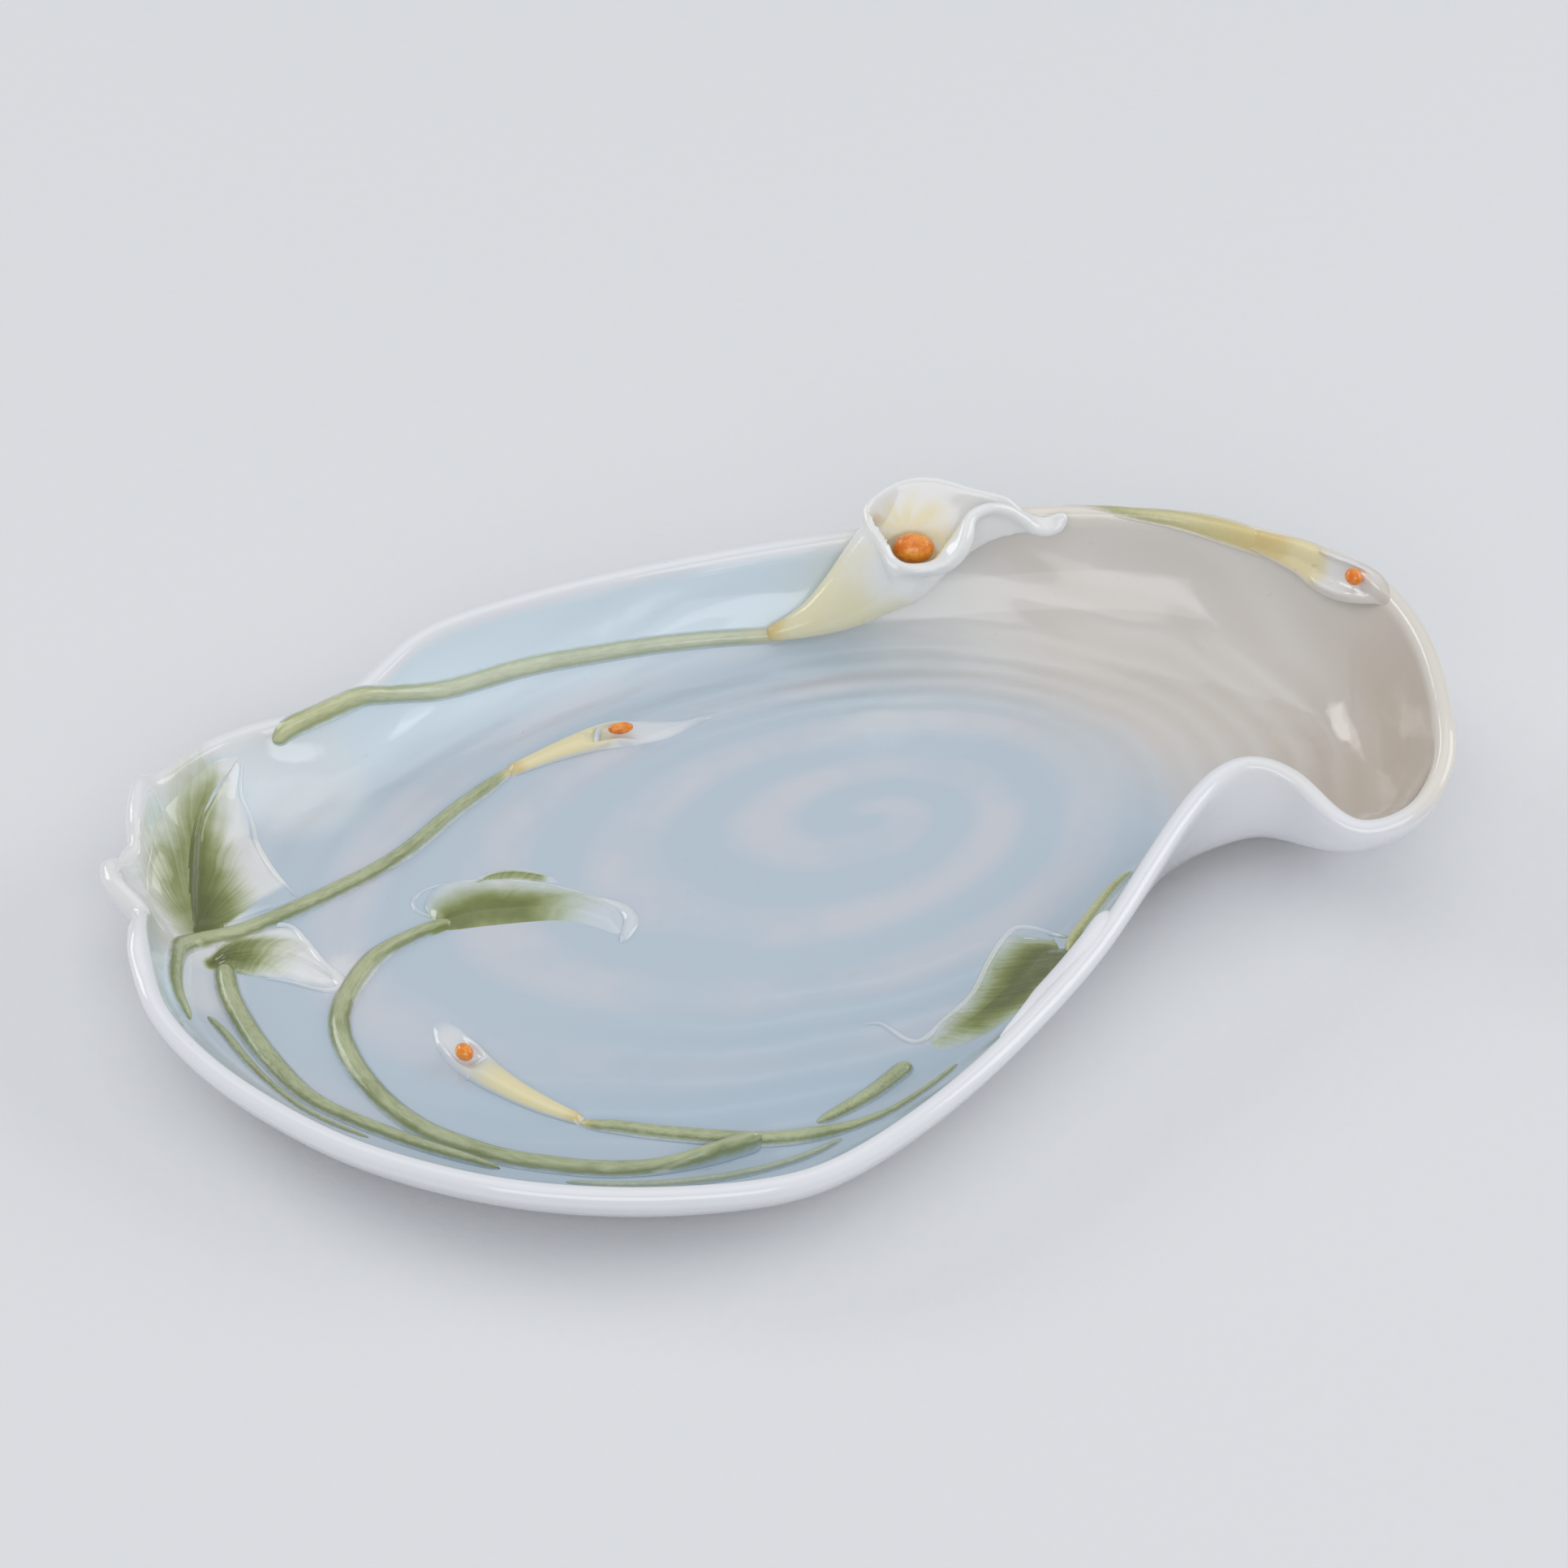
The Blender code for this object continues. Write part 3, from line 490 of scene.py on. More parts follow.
@dataclass(frozen=True)
class LilyGlaze(Glaze):
    """White petals on a yellow tube, with a yellow throat; it thins to the dish's own glaze."""

    white: Colour = shade(240, 240, 239)
    yellow: Colour = shade(236, 229, 192)
    amber: Colour = shade(218, 186, 98)
    name: str = "lily_glaze"

    def make(self) -> Material:
        """Builds the material.

        Returns:
            The material.
        """
        bench = Bench(self.name)
        streaks = bench.grain(300.0, 3.0, 0.6)
        wide = bench.grain(90.0)
        yellow = bench.ease(bench.paint("paint") + (streaks - 0.5) * 0.4 + (wide - 0.5) * 0.6, 0.2, 0.9)
        colour = bench.blend(yellow, self.white, self.yellow)
        neck = bench.ease(bench.paint("ripe") + (streaks - 0.5) * 0.7, 0.3, 0.95)
        colour = bench.blend(neck * 0.7, colour, self.amber)
        dots = bench.ease(bench.grain(700.0, 1.0), 0.72, 0.77) * yellow
        colour = bench.blend(dots * 0.5, colour, self.amber)
        colour = bench.blend(bench.paint("cover"), self.ground(bench)[0], colour)
        return bench.surface(colour, 0.14 + wide * 0.08, streaks * 0.3 + wide * 0.7, 0.0003, 0.6)


@dataclass(frozen=True)
class SpadixGlaze:
    """Orange glaze, mottled darker and pebbled."""

    bright: Colour = shade(254, 168, 54)
    dark: Colour = shade(234, 116, 20)

    def make(self) -> Material:
        """Builds the material.

        Returns:
            The material.
        """
        bench = Bench("spadix_glaze")
        mottle = bench.grain(900.0, 2.0, 0.6)
        patches = bench.grain(330.0)
        colour = bench.blend(bench.ease(mottle * 0.6 + patches * 0.4, 0.35, 0.65), self.dark, self.bright)
        return bench.surface(colour, 0.16 + patches * 0.1, mottle, 0.0002, 0.6)


@dataclass(frozen=True)
class TablePaper:
    """The plain pale floor."""

    colour: Colour = shade(231, 232, 234)
    fleck: Colour = shade(220, 222, 226)

    def make(self) -> Material:
        """Builds the material.

        Returns:
            The material.
        """
        bench = Bench("table_paper")
        grain = bench.grain(420.0, 3.0)
        return bench.surface(bench.blend(grain * 0.2, self.colour, self.fleck), 0.75, grain, 0.0001)


# Shaping tools


def drop_selection() -> None:
    """Leaves edit mode and deselects everything."""
    if bpy.context.object and bpy.context.object.mode != "OBJECT":
        bpy.ops.object.mode_set(mode="OBJECT")
    bpy.ops.object.select_all(action="DESELECT")


def take(piece: Piece) -> None:
    """Selects one piece alone and makes it the active one."""
    drop_selection()
    piece.select_set(True)
    bpy.context.view_layer.objects.active = piece


def finish_with(piece: Piece, kind: str, **settings: float | int | str) -> None:
    """Adds a modifier to a piece and applies it.

    Args:
        piece: The piece.
        kind: The modifier's type.
        settings: Its settings.
    """
    take(piece)
    modifier = piece.modifiers.new(kind.lower(), kind)
    for name, value in settings.items():
        setattr(modifier, name, value)
    bpy.ops.object.modifier_apply(modifier=modifier.name)


def smoothed(piece: Piece, levels: int) -> None:
    """Subdivides a piece smoothly."""
    finish_with(piece, "SUBSURF", levels=levels, render_levels=levels)


def copy_of(node: str, name: str) -> Piece:
    """A free copy of a CAD node's mesh, merged and made of quads where it can be.

    Args:
        node: The CAD node.
        name: The new piece's name.

    Returns:
        The new piece, at the origin.
    """
    piece = bpy.data.objects.new(name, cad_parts[node].data.copy())
    piece.data.name = name
    piece.data.materials.clear()
    bpy.context.scene.collection.objects.link(piece)
    take(piece)
    bpy.ops.object.mode_set(mode="EDIT")
    bpy.ops.mesh.select_all(action="SELECT")
    bpy.ops.mesh.remove_doubles(threshold=0.000002)
    bpy.ops.mesh.tris_convert_to_quads(face_threshold=math.radians(40), shape_threshold=math.radians(60))
    bpy.ops.mesh.normals_make_consistent(inside=False)
    bpy.ops.object.mode_set(mode="OBJECT")
    return piece


def brush(piece: Piece, **paints: list[float]) -> None:
    """Paints attributes on a piece's points, by their names."""
    for name, values in paints.items():
        piece.data.attributes.new(name, "FLOAT", "POINT").data.foreach_set("value", values)


def smooth_line(points: list[tuple], steps: int) -> list[tuple]:
    """Points along a smooth curve through the given ones.

    Args:
        points: The points, of as many numbers each.
        steps: The steps in each span.

    Returns:
        The curve's points.
    """
    last = len(points) - 1
    line = []
    for i in range(last):
        a, b, c, d = (points[min(max(i + k, 0), last)] for k in (-1, 0, 1, 2))
        for step in range(steps):
            t = step / steps
            line.append(tuple(
                b[j] + t * (c[j] - a[j]) / 2
                + t * t * (2 * a[j] - 5 * b[j] + 4 * c[j] - d[j]) / 2
                + t ** 3 * (3 * b[j] - a[j] - 3 * c[j] + d[j]) / 2
                for j in range(len(b))))
    line.append(tuple(points[-1]))
    return line


class Route:
    """A smooth line through given points, read by the share of its length."""

    steps = 12

    def __init__(self, points: tuple | list) -> None:
        """Measures the line.

        Args:
            points: Its points, whose first two numbers are their place in the plan.
        """
        self.line = smooth_line(points, self.steps)
        self.lengths = [0.0]
        for a, b in zip(self.line, self.line[1:]):
            self.lengths.append(self.lengths[-1] + math.dist(a[:2], b[:2]))
        self.length = self.lengths[-1]

    def at(self, share: float) -> tuple:
        """Reads the line.

        Args:
            share: The share of its length.

        Returns:
            The line's numbers there.
        """
        distance = share * self.length
        i = min(bisect_left(self.lengths, distance, 1), len(self.lengths) - 1) - 1
        t = (distance - self.lengths[i]) / (self.lengths[i + 1] - self.lengths[i])
        return tuple(a + (b - a) * t for a, b in zip(self.line[i], self.line[i + 1]))

    def way(self, share: float, step: float) -> Vector:
        """The line's way in the plan at a share of its length, over a step to each side."""
        ahead, behind = self.at(min(1.0, share + step)), self.at(max(0.0, share - step))
        return Vector((ahead[0] - behind[0], ahead[1] - behind[1], 0))


class Ground:
    """The dish's inner surface, on which the raised pieces lie. Its sizes are in millimetres."""

    ray_top = 60
    lip_height = 26
    evening = 1.5
    reach_up = 3
    reach_down = 0.6

    def __init__(self, dish: Piece) -> None:
        """Reads the dish's mesh."""
        mesh = dish.data
        self.tree = BVHTree.FromPolygons([v.co for v in mesh.vertices], [p.vertices for p in mesh.polygons])

    def below(self, x: float, y: float) -> tuple[Vector, Vector]:
        """The surface point under a place in the plan, and its normal."""
        return self.tree.ray_cast(Vector((x, y, self.ray_top * MM)), Vector((0, 0, -1)))[:2]

    def seat(self, x: float, y: float) -> tuple[Vector, Vector]:
        """Finds the seat of a piece at a place in the plan, in millimetres.

        Args:
            x: The place's x.
            y: The place's y.

        Returns:
            The surface point under it, and the normal evened over the points round it.
        """
        x, y = x * MM, y * MM
        point, normal = self.below(x, y)
        if point is None:
            point, normal = self.tree.find_nearest(Vector((x, y, self.lip_height * MM)))[:2]
        total = Vector(normal)
        away = self.evening * MM
        for dx, dy in ((away, 0), (0, away), (-away, 0), (0, -away)):
            near = self.below(x + dx, y + dy)
            if near[0] is not None:
                total += near[1]
        return point, total.normalized()

    def drop(self, point: Vector, normal: Vector) -> Vector:
        """Lays a point on the surface.

        Args:
            point: The point.
            normal: The way out of the dish.

        Returns:
            Where it lands against the normal, not far under its own place.
        """
        hit = self.tree.ray_cast(point + normal * self.reach_up * MM, -normal)[0]
        lowest = point - normal * self.reach_down * MM
        return lowest if hit is None or (hit - lowest).dot(normal) < 0 else hit


def dress(piece: Piece, material: Material, node: str) -> None:
    """Gives a piece its finish and its place in the model.

    Args:
        piece: The piece.
        material: Its material.
        node: The CAD node that it stands for, if there is one of this name.
    """
    piece.data.materials.clear()
    piece.data.materials.append(material)
    piece.data.shade_smooth()
    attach(piece, BODY)
    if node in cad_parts:
        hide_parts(node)
    LOG.info("%s: %d faces", piece.name, len(piece.data.polygons))


def thicken(piece: Piece, ground: Ground) -> None:
    """Turns a laid sheet's face out of the dish and thickens it downwards.

    Args:
        piece: The sheet.
        ground: The dish under it.
    """
    faces = piece.data.polygons
    middle = faces[len(faces) // 2]
    if middle.normal.dot(ground.tree.find_nearest(middle.center)[1]) < 0:
        take(piece)
        bpy.ops.object.mode_set(mode="EDIT")
        bpy.ops.mesh.select_all(action="SELECT")
        bpy.ops.mesh.flip_normals()
        bpy.ops.object.mode_set(mode="OBJECT")
    finish_with(piece, "SOLIDIFY", thickness=SHEET_DEPTH * MM, offset=-1.0)


# The pieces


@dataclass
class Dish:
    """The porcelain shell and its foot. Lengths are in millimetres, and a slope is a normal's z."""

    lip_white: float = 0.8
    lip_blend: float = 2.8
    floor_top: float = 5.7
    floor_slack: float = 0.1
    level_slack: float = 0.02
    flat_slope: float = 0.9995
    cut_to: float = -12.0
    cut_over: float = 7.0
    cuts: int = 5
    crest_over: float = 11.5
    crest_slope: float = 0.9
    pleat_base: Place = (-82.0, 18.0)
    pleat_start: Place = (2.5, 9.0)
    pleat_end: float = 42.0
    pleat_right: float = 24.0
    pleat_rim: Place = (14.0, 0.8)
    pleat_way: Place = (0.5, 0.8)
    foot_corner: float = 50.0

    def build(self, glaze: Material, bare: Material) -> Ground:
        """Builds and dresses the dish.

        Args:
            glaze: The dish's glaze.
            bare: The foot's finish.

        Returns:
            The dish's surface, for the raised pieces.
        """
        shell = copy_of("dish_body", "porcelain_shell")
        self._cut_floor(shell)
        smoothed(shell, 2)
        crest = self._crest(shell)
        self._paint_well(shell, crest)
        self._pleat(shell, crest)
        brush_leaves(shell, tuple(leaf for leaf in LEAVES if leaf.spreads), rims=0.0)
        dress(shell, glaze, "dish_body")
        foot = copy_of("foot_ring", "bare_foot_ring")
        dress(foot, bare, "foot_ring")
        foot.data.set_sharp_from_angle(angle=math.radians(self.foot_corner))
        return Ground(shell)

    def _cut_floor(self, shell: Piece) -> None:
        """Cuts the long edges of the flat floor at the left, so that it can be painted finely.

        Args:
            shell: The shell, not yet smoothed.
        """
        take(shell)
        mesh = shell.data
        points = mesh.vertices
        for kind in (mesh.vertices, mesh.edges, mesh.polygons):
            kind.foreach_set("select", [False] * len(kind))
        sloping = {key for face in mesh.polygons if face.normal.z < self.flat_slope for key in face.edge_keys}
        low, high = (self.floor_top - self.floor_slack) * MM, (self.floor_top + self.floor_slack) * MM
        for edge in mesh.edges:
            a, b = (points[i].co for i in edge.vertices)
            floor = low < min(a.z, b.z) and max(a.z, b.z) < high and edge.key not in sloping
            level = abs(a.z - b.z) < self.level_slack * MM
            left = max(a.x, b.x) <= self.cut_to * MM
            edge.select = floor and level and left and (a - b).length > self.cut_over * MM
        bpy.ops.object.mode_set(mode="EDIT")
        bpy.context.tool_settings.mesh_select_mode = (False, True, False)
        bpy.ops.mesh.subdivide(number_cuts=self.cuts, smoothness=0.0)
        bpy.ops.object.mode_set(mode="OBJECT")

    def _crest(self, shell: Piece) -> KDTree:
        """Finds the points along the top of the lip.

        Args:
            shell: The shell.

        Returns:
            The points.
        """
        over = self.crest_over * MM
        crest = [v.co for v in shell.data.vertices if v.normal.z > self.crest_slope and v.co.z > over]
        tree = KDTree(len(crest))
        for i, point in enumerate(crest):
            tree.insert(point, i)
        tree.balance()
        return tree

    def _pleat(self, shell: Piece, crest: KDTree) -> None:
        """Lifts the lip in pleats round the corner leaf, which fan out from the leaf's base.

        Args:
            shell: The shell.
            crest: The top of the lip.
        """
        base = Vector(self.pleat_base)
        start, (out, up) = self.pleat_start[0], self.pleat_way
        for v in shell.data.vertices:
            place = v.co.xy / MM - base
            if start < place.length < self.pleat_end and place.x < self.pleat_right:
                lift = read_rows(PLEATS, math.degrees(math.atan2(place.y, place.x)) % 360)[0]
                near = fade(crest.find(v.co)[2] / MM, *self.pleat_rim) * fade(place.length, *self.pleat_start)
                way = place.normalized() * out
                v.co += Vector((way.x, way.y, up)) * (lift * near * MM)

    def _paint_well(self, shell: Piece, crest: KDTree) -> None:
        """Marks the inside as the well, fading out towards the lip.

        Args:
            shell: The shell.
            crest: The top of the lip.
        """
        values = []
        for v in shell.data.vertices:
            distance = crest.find(v.co)[2] / MM
            values.append(fade(v.normal.z, -0.05, 0.25) * fade(distance, self.lip_white, self.lip_blend))
        brush(shell, well=values)


@dataclass
class Relief:
    """A raised piece: a grid of across by along steps, laid on the dish and thickened downwards."""

    name: str

    ending = "_coil"
    node_ending = ""
    slot = Slot.GREEN

    def build(self, ground: Ground, glaze: Material) -> None:
        """Lays the piece on the dish and dresses it.

        Args:
            ground: The dish.
            glaze: The piece's glaze.
        """
        drop_selection()
        bpy.ops.mesh.primitive_grid_add(x_subdivisions=self.across, y_subdivisions=self.along, size=1)
        piece = bpy.context.active_object
        piece.name = self.name + self.ending
        piece.data.name = piece.name
        piece.data.uv_layers[0].name = "sheet"
        rows = []
        for v in piece.data.vertices:
            v.co, paints = self._lay(2 * v.co.x, v.co.y + 0.5, ground)
            rows.append(paints)
        brush(piece, **dict(zip(("paint", "ripe", "cover"), zip(*rows))))
        thicken(piece, ground)
        smoothed(piece, 1)
        brush_leaves(piece, LEAVES)
        dress(piece, glaze, self.name + self.node_ending)


@dataclass
class SlipStem(Relief):
    """A half-round coil of slip laid along a route.

    The route's columns are x, y, width and lift. The last two are shares of the coil's own width and
    height, and are 1 and 0 where a row leaves them out.
    """

    route: tuple
    ripe_first: float = 0.0
    ripe_last: float = 0.0
    width: float = 3.4
    height: float = 1.15
    skirt: float = 1.12
    across: int = 12
    strength: float = 0.95
    firm: float = 0.95
    fading: float = 0.0

    step = 0.01
    least_along = 12
    blunt = 0.12
    full = 0.83
    firming = (0.6, 0.95)

    def __post_init__(self) -> None:
        """Measures the route."""
        self.path = Route([(*row, *(1, 0)[len(row) - 2:]) for row in self.route])
        self.along = max(self.least_along, round(self.path.length))

    def _lay(self, side: float, share: float, ground: Ground) -> Laid:
        """Lays a point of the grid.

        Args:
            side: The place across, from -1 to 1.
            share: The share of the route.
            ground: The dish.

        Returns:
            The point's new place and its paints.
        """
        x, y, width, lift = self.path.at(share)
        seat, normal = ground.seat(x, y)
        across = self.path.way(share, self.step).cross(normal).normalized()
        radius = self.width / 2
        near = min(share * self.path.length, (1 - share) * self.path.length, radius) / radius
        rounding = max(self.blunt, math.sqrt(1 - (1 - near) ** 2))
        half = radius * width * rounding * self.skirt * MM
        high = self.height * (min(1, width / self.full) * rounding + lift) * MM
        bell = (1 - abs(side) ** 2.3) ** 1.25 if abs(side) < 1 else 0.0
        base = ground.drop(seat + across * half * side, normal)
        return base + normal * (bell * high - COIL_SINK * MM), self._paints(bell, share)

    def _paints(self, bell: float, share: float) -> tuple:
        """Works out a point's paints.

        Args:
            bell: Its height on the coil, from 0 to 1.
            share: The share of the route.

        Returns:
            The paint, the ripeness and the cover.
        """
        paint = bell * fade(share, 0.0, self.fading) if self.fading else bell
        first = fade(share, self.ripe_first, 0.0) if self.ripe_first else 0.0
        last = fade(share, 1 - self.ripe_last, 1.0) if self.ripe_last else 0.0
        cover = self.strength + (self.firm - self.strength) * fade(share, *self.firming)
        return paint, max(first, last), cover


@dataclass
class Trail(SlipStem):
    """A thin raised line of white glaze, such as a leaf's hem, a curl or a crease."""

    width: float = 1.1
    height: float = 0.42
    across: int = 8
    strength: float = 0.6

    ending = "_trail"
    slot = Slot.CREAM

    def _paints(self, bell: float, share: float) -> tuple:
        """White that thins out at the line's foot and ends."""
        return 0.0, 0.0, self.strength * bell * fade(min(share, 1 - share), 0.0, 0.15)


@dataclass
class LaidLeaf(Relief):
    """A leaf pressed on the dish between two edges, its green brushed out from the midrib.

    Its lines run from base to tip. The green's columns are: share along the midrib, and how far the
    green reaches to the left and to the right of it.
    """

    left: tuple
    midrib: tuple
    right: tuple
    green: tuple
    soft: Place
    green_end: float
    beads: Place
    least: Place = (-2.0, -2.0)
    end_soft: float = 0.12
    white: float = 0.9
    swell: Place = (0.75, 0.75)
    groove: float = 0.0
    fold: float = 0.0
    ruffle: float = 0.0
    ruffles: float = 5.0
    strokes: float = 0.7
    fan: float = 0.0
    spreads: bool = False
    across: int = 28
    along: int = 56

    ending = "_blade"
    steps = 120
    margin = 14.0
    edge_soft = 0.7
    rim = (-1.6, 0.4)
    slant = 0.6
    body = 0.05

    def __post_init__(self) -> None:
        """Measures the midrib and the two edges for the paint."""
        self.lines = [Route(line) for line in (self.left, self.midrib, self.right)]
        self.spine = KDTree(self.steps + 1)
        self.places = []
        for i in range(self.steps + 1):
            place = Vector(self.lines[1].at(i / self.steps)[:2])
            self.places.append(place)
            self.spine.insert(place.to_3d(), i)
        self.spine.balance()
        self.middle = self.places[self.steps // 2]
        ahead = self.places[self.steps // 2 + 1] - self.middle
        aside = Vector(self.lines[0].at(0.5)[:2]) - self.middle
        self.far = self.lines[1].length / 2 + self.margin
        self.hand = math.copysign(1.0, ahead.x * aside.y - ahead.y * aside.x)

    def paint_at(self, place: Vector) -> tuple[float, float, float]:
        """The paint at a place in the plan.

        Args:
            place: The place, in millimetres.

        Returns:
            How far through the green's soft edge it is, its place across the strokes, and its whiteness.
        """
        if (place - self.middle).length > self.far:
            return 2.0, 0.0, 0.0
        i = self.spine.find(place.to_3d())[1]
        here, ahead = self.places[i], self.places[min(i + 1, self.steps)]
        along = (ahead - self.places[max(i - 1, 0)]).normalized()
        offset = place - here
        half = 0 if self.hand * (along.x * offset.y - along.y * offset.x) > 0 else 1
        share = i / self.steps
        soft = self.soft[half]
        through = (offset.length - (read_rows(self.green, share)[half] - soft)) / soft
        width = (Vector(self.lines[2 * half].at(share)[:2]) - here).length
        past_end = (share - self.green_end) / self.end_soft
        past_edge = (offset.length - width) / self.edge_soft
        through = max(through, past_end, past_edge)
        stroke = (share * self.lines[1].length - offset.length * self.slant * (1 - 2 * half)) * self.strokes
        if self.fan:
            out = place - self.places[0]
            stroke = math.degrees(math.atan2(out.y, out.x)) % 360 / self.fan
        milk = self.white * (1 - fade(offset.length, width + self.rim[0], width + self.rim[1]))
        return max(self.least[half], min(2.0, through)), stroke, milk

    def _lay(self, side: float, share: float, ground: Ground) -> Laid:
        """Lays a point of the grid: a bead at the edge, a swell by the midrib, a fold and ruffles.

        Args:
            side: The place across, from -1 to 1.
            share: The share of the way to the tip.
            ground: The dish.

        Returns:
            The point's new place, and no paints, because a leaf's own go by places in the plan.
        """
        half = 0 if side < 0 else 1
        inward = 1 - abs(side)
        place = Vector(self.lines[2 * half].at(share)).lerp(Vector(self.lines[1].at(share)), inward)
        seat, normal = ground.seat(place.x, place.y)
        ends = fade(min(share, 1 - share), 0.0, 0.10)
        bead = self.beads[half] * fade(inward, 0.0, 0.10) * fade(inward, 0.34, 0.14)
        swell = self.swell[half] * fade(inward, 0.0, 0.75) - self.groove * fade(inward, 0.84, 1.0)
        fold = self.fold * inward if side <= 0 else 0.0
        wave = math.sin(2 * math.pi * (share * self.ruffles + 0.15 * (1 + side)))
        ruffle = self.ruffle * wave * fade(inward, 0.02, 0.2) * fade(inward, 0.7, 0.3)
        raised = bead * (0.7 + 0.3 * wave) + swell + fold + ruffle + self.body
        return seat + normal * (ends * raised - SHEET_SINK) * MM, ()


def brush_leaves(piece: Piece, leaves: tuple[LaidLeaf, ...], rims: float = 1.0) -> None:
    """Paints every leaf's green and white on a piece, by the places of its points in the plan.

    Args:
        piece: The piece.
        leaves: The leaves.
        rims: How much of the leaves' white rims it shows.
    """
    values = []
    for v in piece.data.vertices:
        place = Vector((v.co.x / MM, v.co.y / MM))
        paints = [leaf.paint_at(place) for leaf in leaves]
        nearest = min(paints)
        spots = (white * fade(math.dist(place, (x, y)), reach, reach * 0.45) for x, y, reach, white in MILK)
        milk = max(rims * max(paint[2] for paint in paints), *spots)
        inside = fade(v.normal.z, -0.1, 0.2)
        values += [nearest[0] + 3 * (1 - inside), nearest[1], milk * inside]
    piece.data.attributes.new("leaf", "FLOAT_VECTOR", "POINT").data.foreach_set("vector", values)


@dataclass
class SmallLily(Relief):
    """A small lily pressed on the dish: a tube that opens into two low flaps and runs out in a tip.

    The route's columns are x, y, and the half width to the left and to the right.
    """

    route: tuple
    open_at: float
    tube: float = 1.6
    flaps: Place = (0.9, 0.9)
    flap_length: float = 0.26
    petal: float = 0.30
    yellow: Place = (0.70, 0.35)
    sheer: float = 0.55
    start: float = 0.03
    amber: float = 0.16
    shift: tuple[float, float, float] = (0.0, 0.0, -0.4)
    across: int = 28
    along: int = 60

    ending = "_petals"
    node_ending = "_spathe"
    slot = Slot.CREAM
    step = 0.02

    def __post_init__(self) -> None:
        """Measures the route."""
        self.path = Route(self.route)

    def _lay(self, side: float, share: float, ground: Ground) -> Laid:
        """Lays a point of the grid: a tube, then two flaps with the throat between, then the tip.

        Args:
            side: The place across, from -1 to 1.
            share: The share of the route.
            ground: The dish.

        Returns:
            The point's new place and its paints.
        """
        x, y, left, right = self.path.at(share)
        seat, normal = ground.seat(x, y)
        across = self.path.way(share, self.step).cross(normal).normalized()
        base = ground.drop(seat + across * (right if side > 0 else left) * side * MM, normal)
        away = abs(side)
        ends = fade(share, 0.0, 0.04) * fade(share, 1.0, 0.88)
        opened = fade(share, self.open_at - 0.06, self.open_at + 0.03)
        tube = self.tube * (0.65 + 0.35 * fade(share, 0.0, self.open_at)) * max(0.0, 1 - away ** 2.4) ** 0.8
        flap = self.flaps[0 if side < 0 else 1] * math.exp(-((away - 0.70) / 0.18) ** 2)
        flap *= fade(share, self.open_at + self.flap_length, self.open_at + 0.08)
        closing = fade(share, self.open_at + 0.12, self.open_at + 0.36)
        tip = self.petal * max(0.0, 1 - away ** 2) * (1 + closing)
        height = ends * ((1 - opened) * tube + opened * (flap + tip)) - SHEET_SINK
        paint = fade(share, *self.yellow)
        solid = max(self.sheer, 0.9 * paint) * fade(share, 1.0, self.open_at + 0.2)
        cover = solid * fade(share, 0.0, self.start) * fade(away, 1.0, 0.72)
        return base + normal * height * MM, (paint, fade(share, self.amber, 0.0), cover)

    def add_finger(self, glaze: Material) -> None:
        """Sets the finger in the throat, a little off the solid's place.

        Args:
            glaze: The finger's glaze.
        """
        finger = copy_of(self.name + "_spadix", self.name + "_finger")
        smoothed(finger, 2)
        for v in finger.data.vertices:
            v.co += Vector(self.shift) * MM
        dress(finger, glaze, self.name + "_spadix")


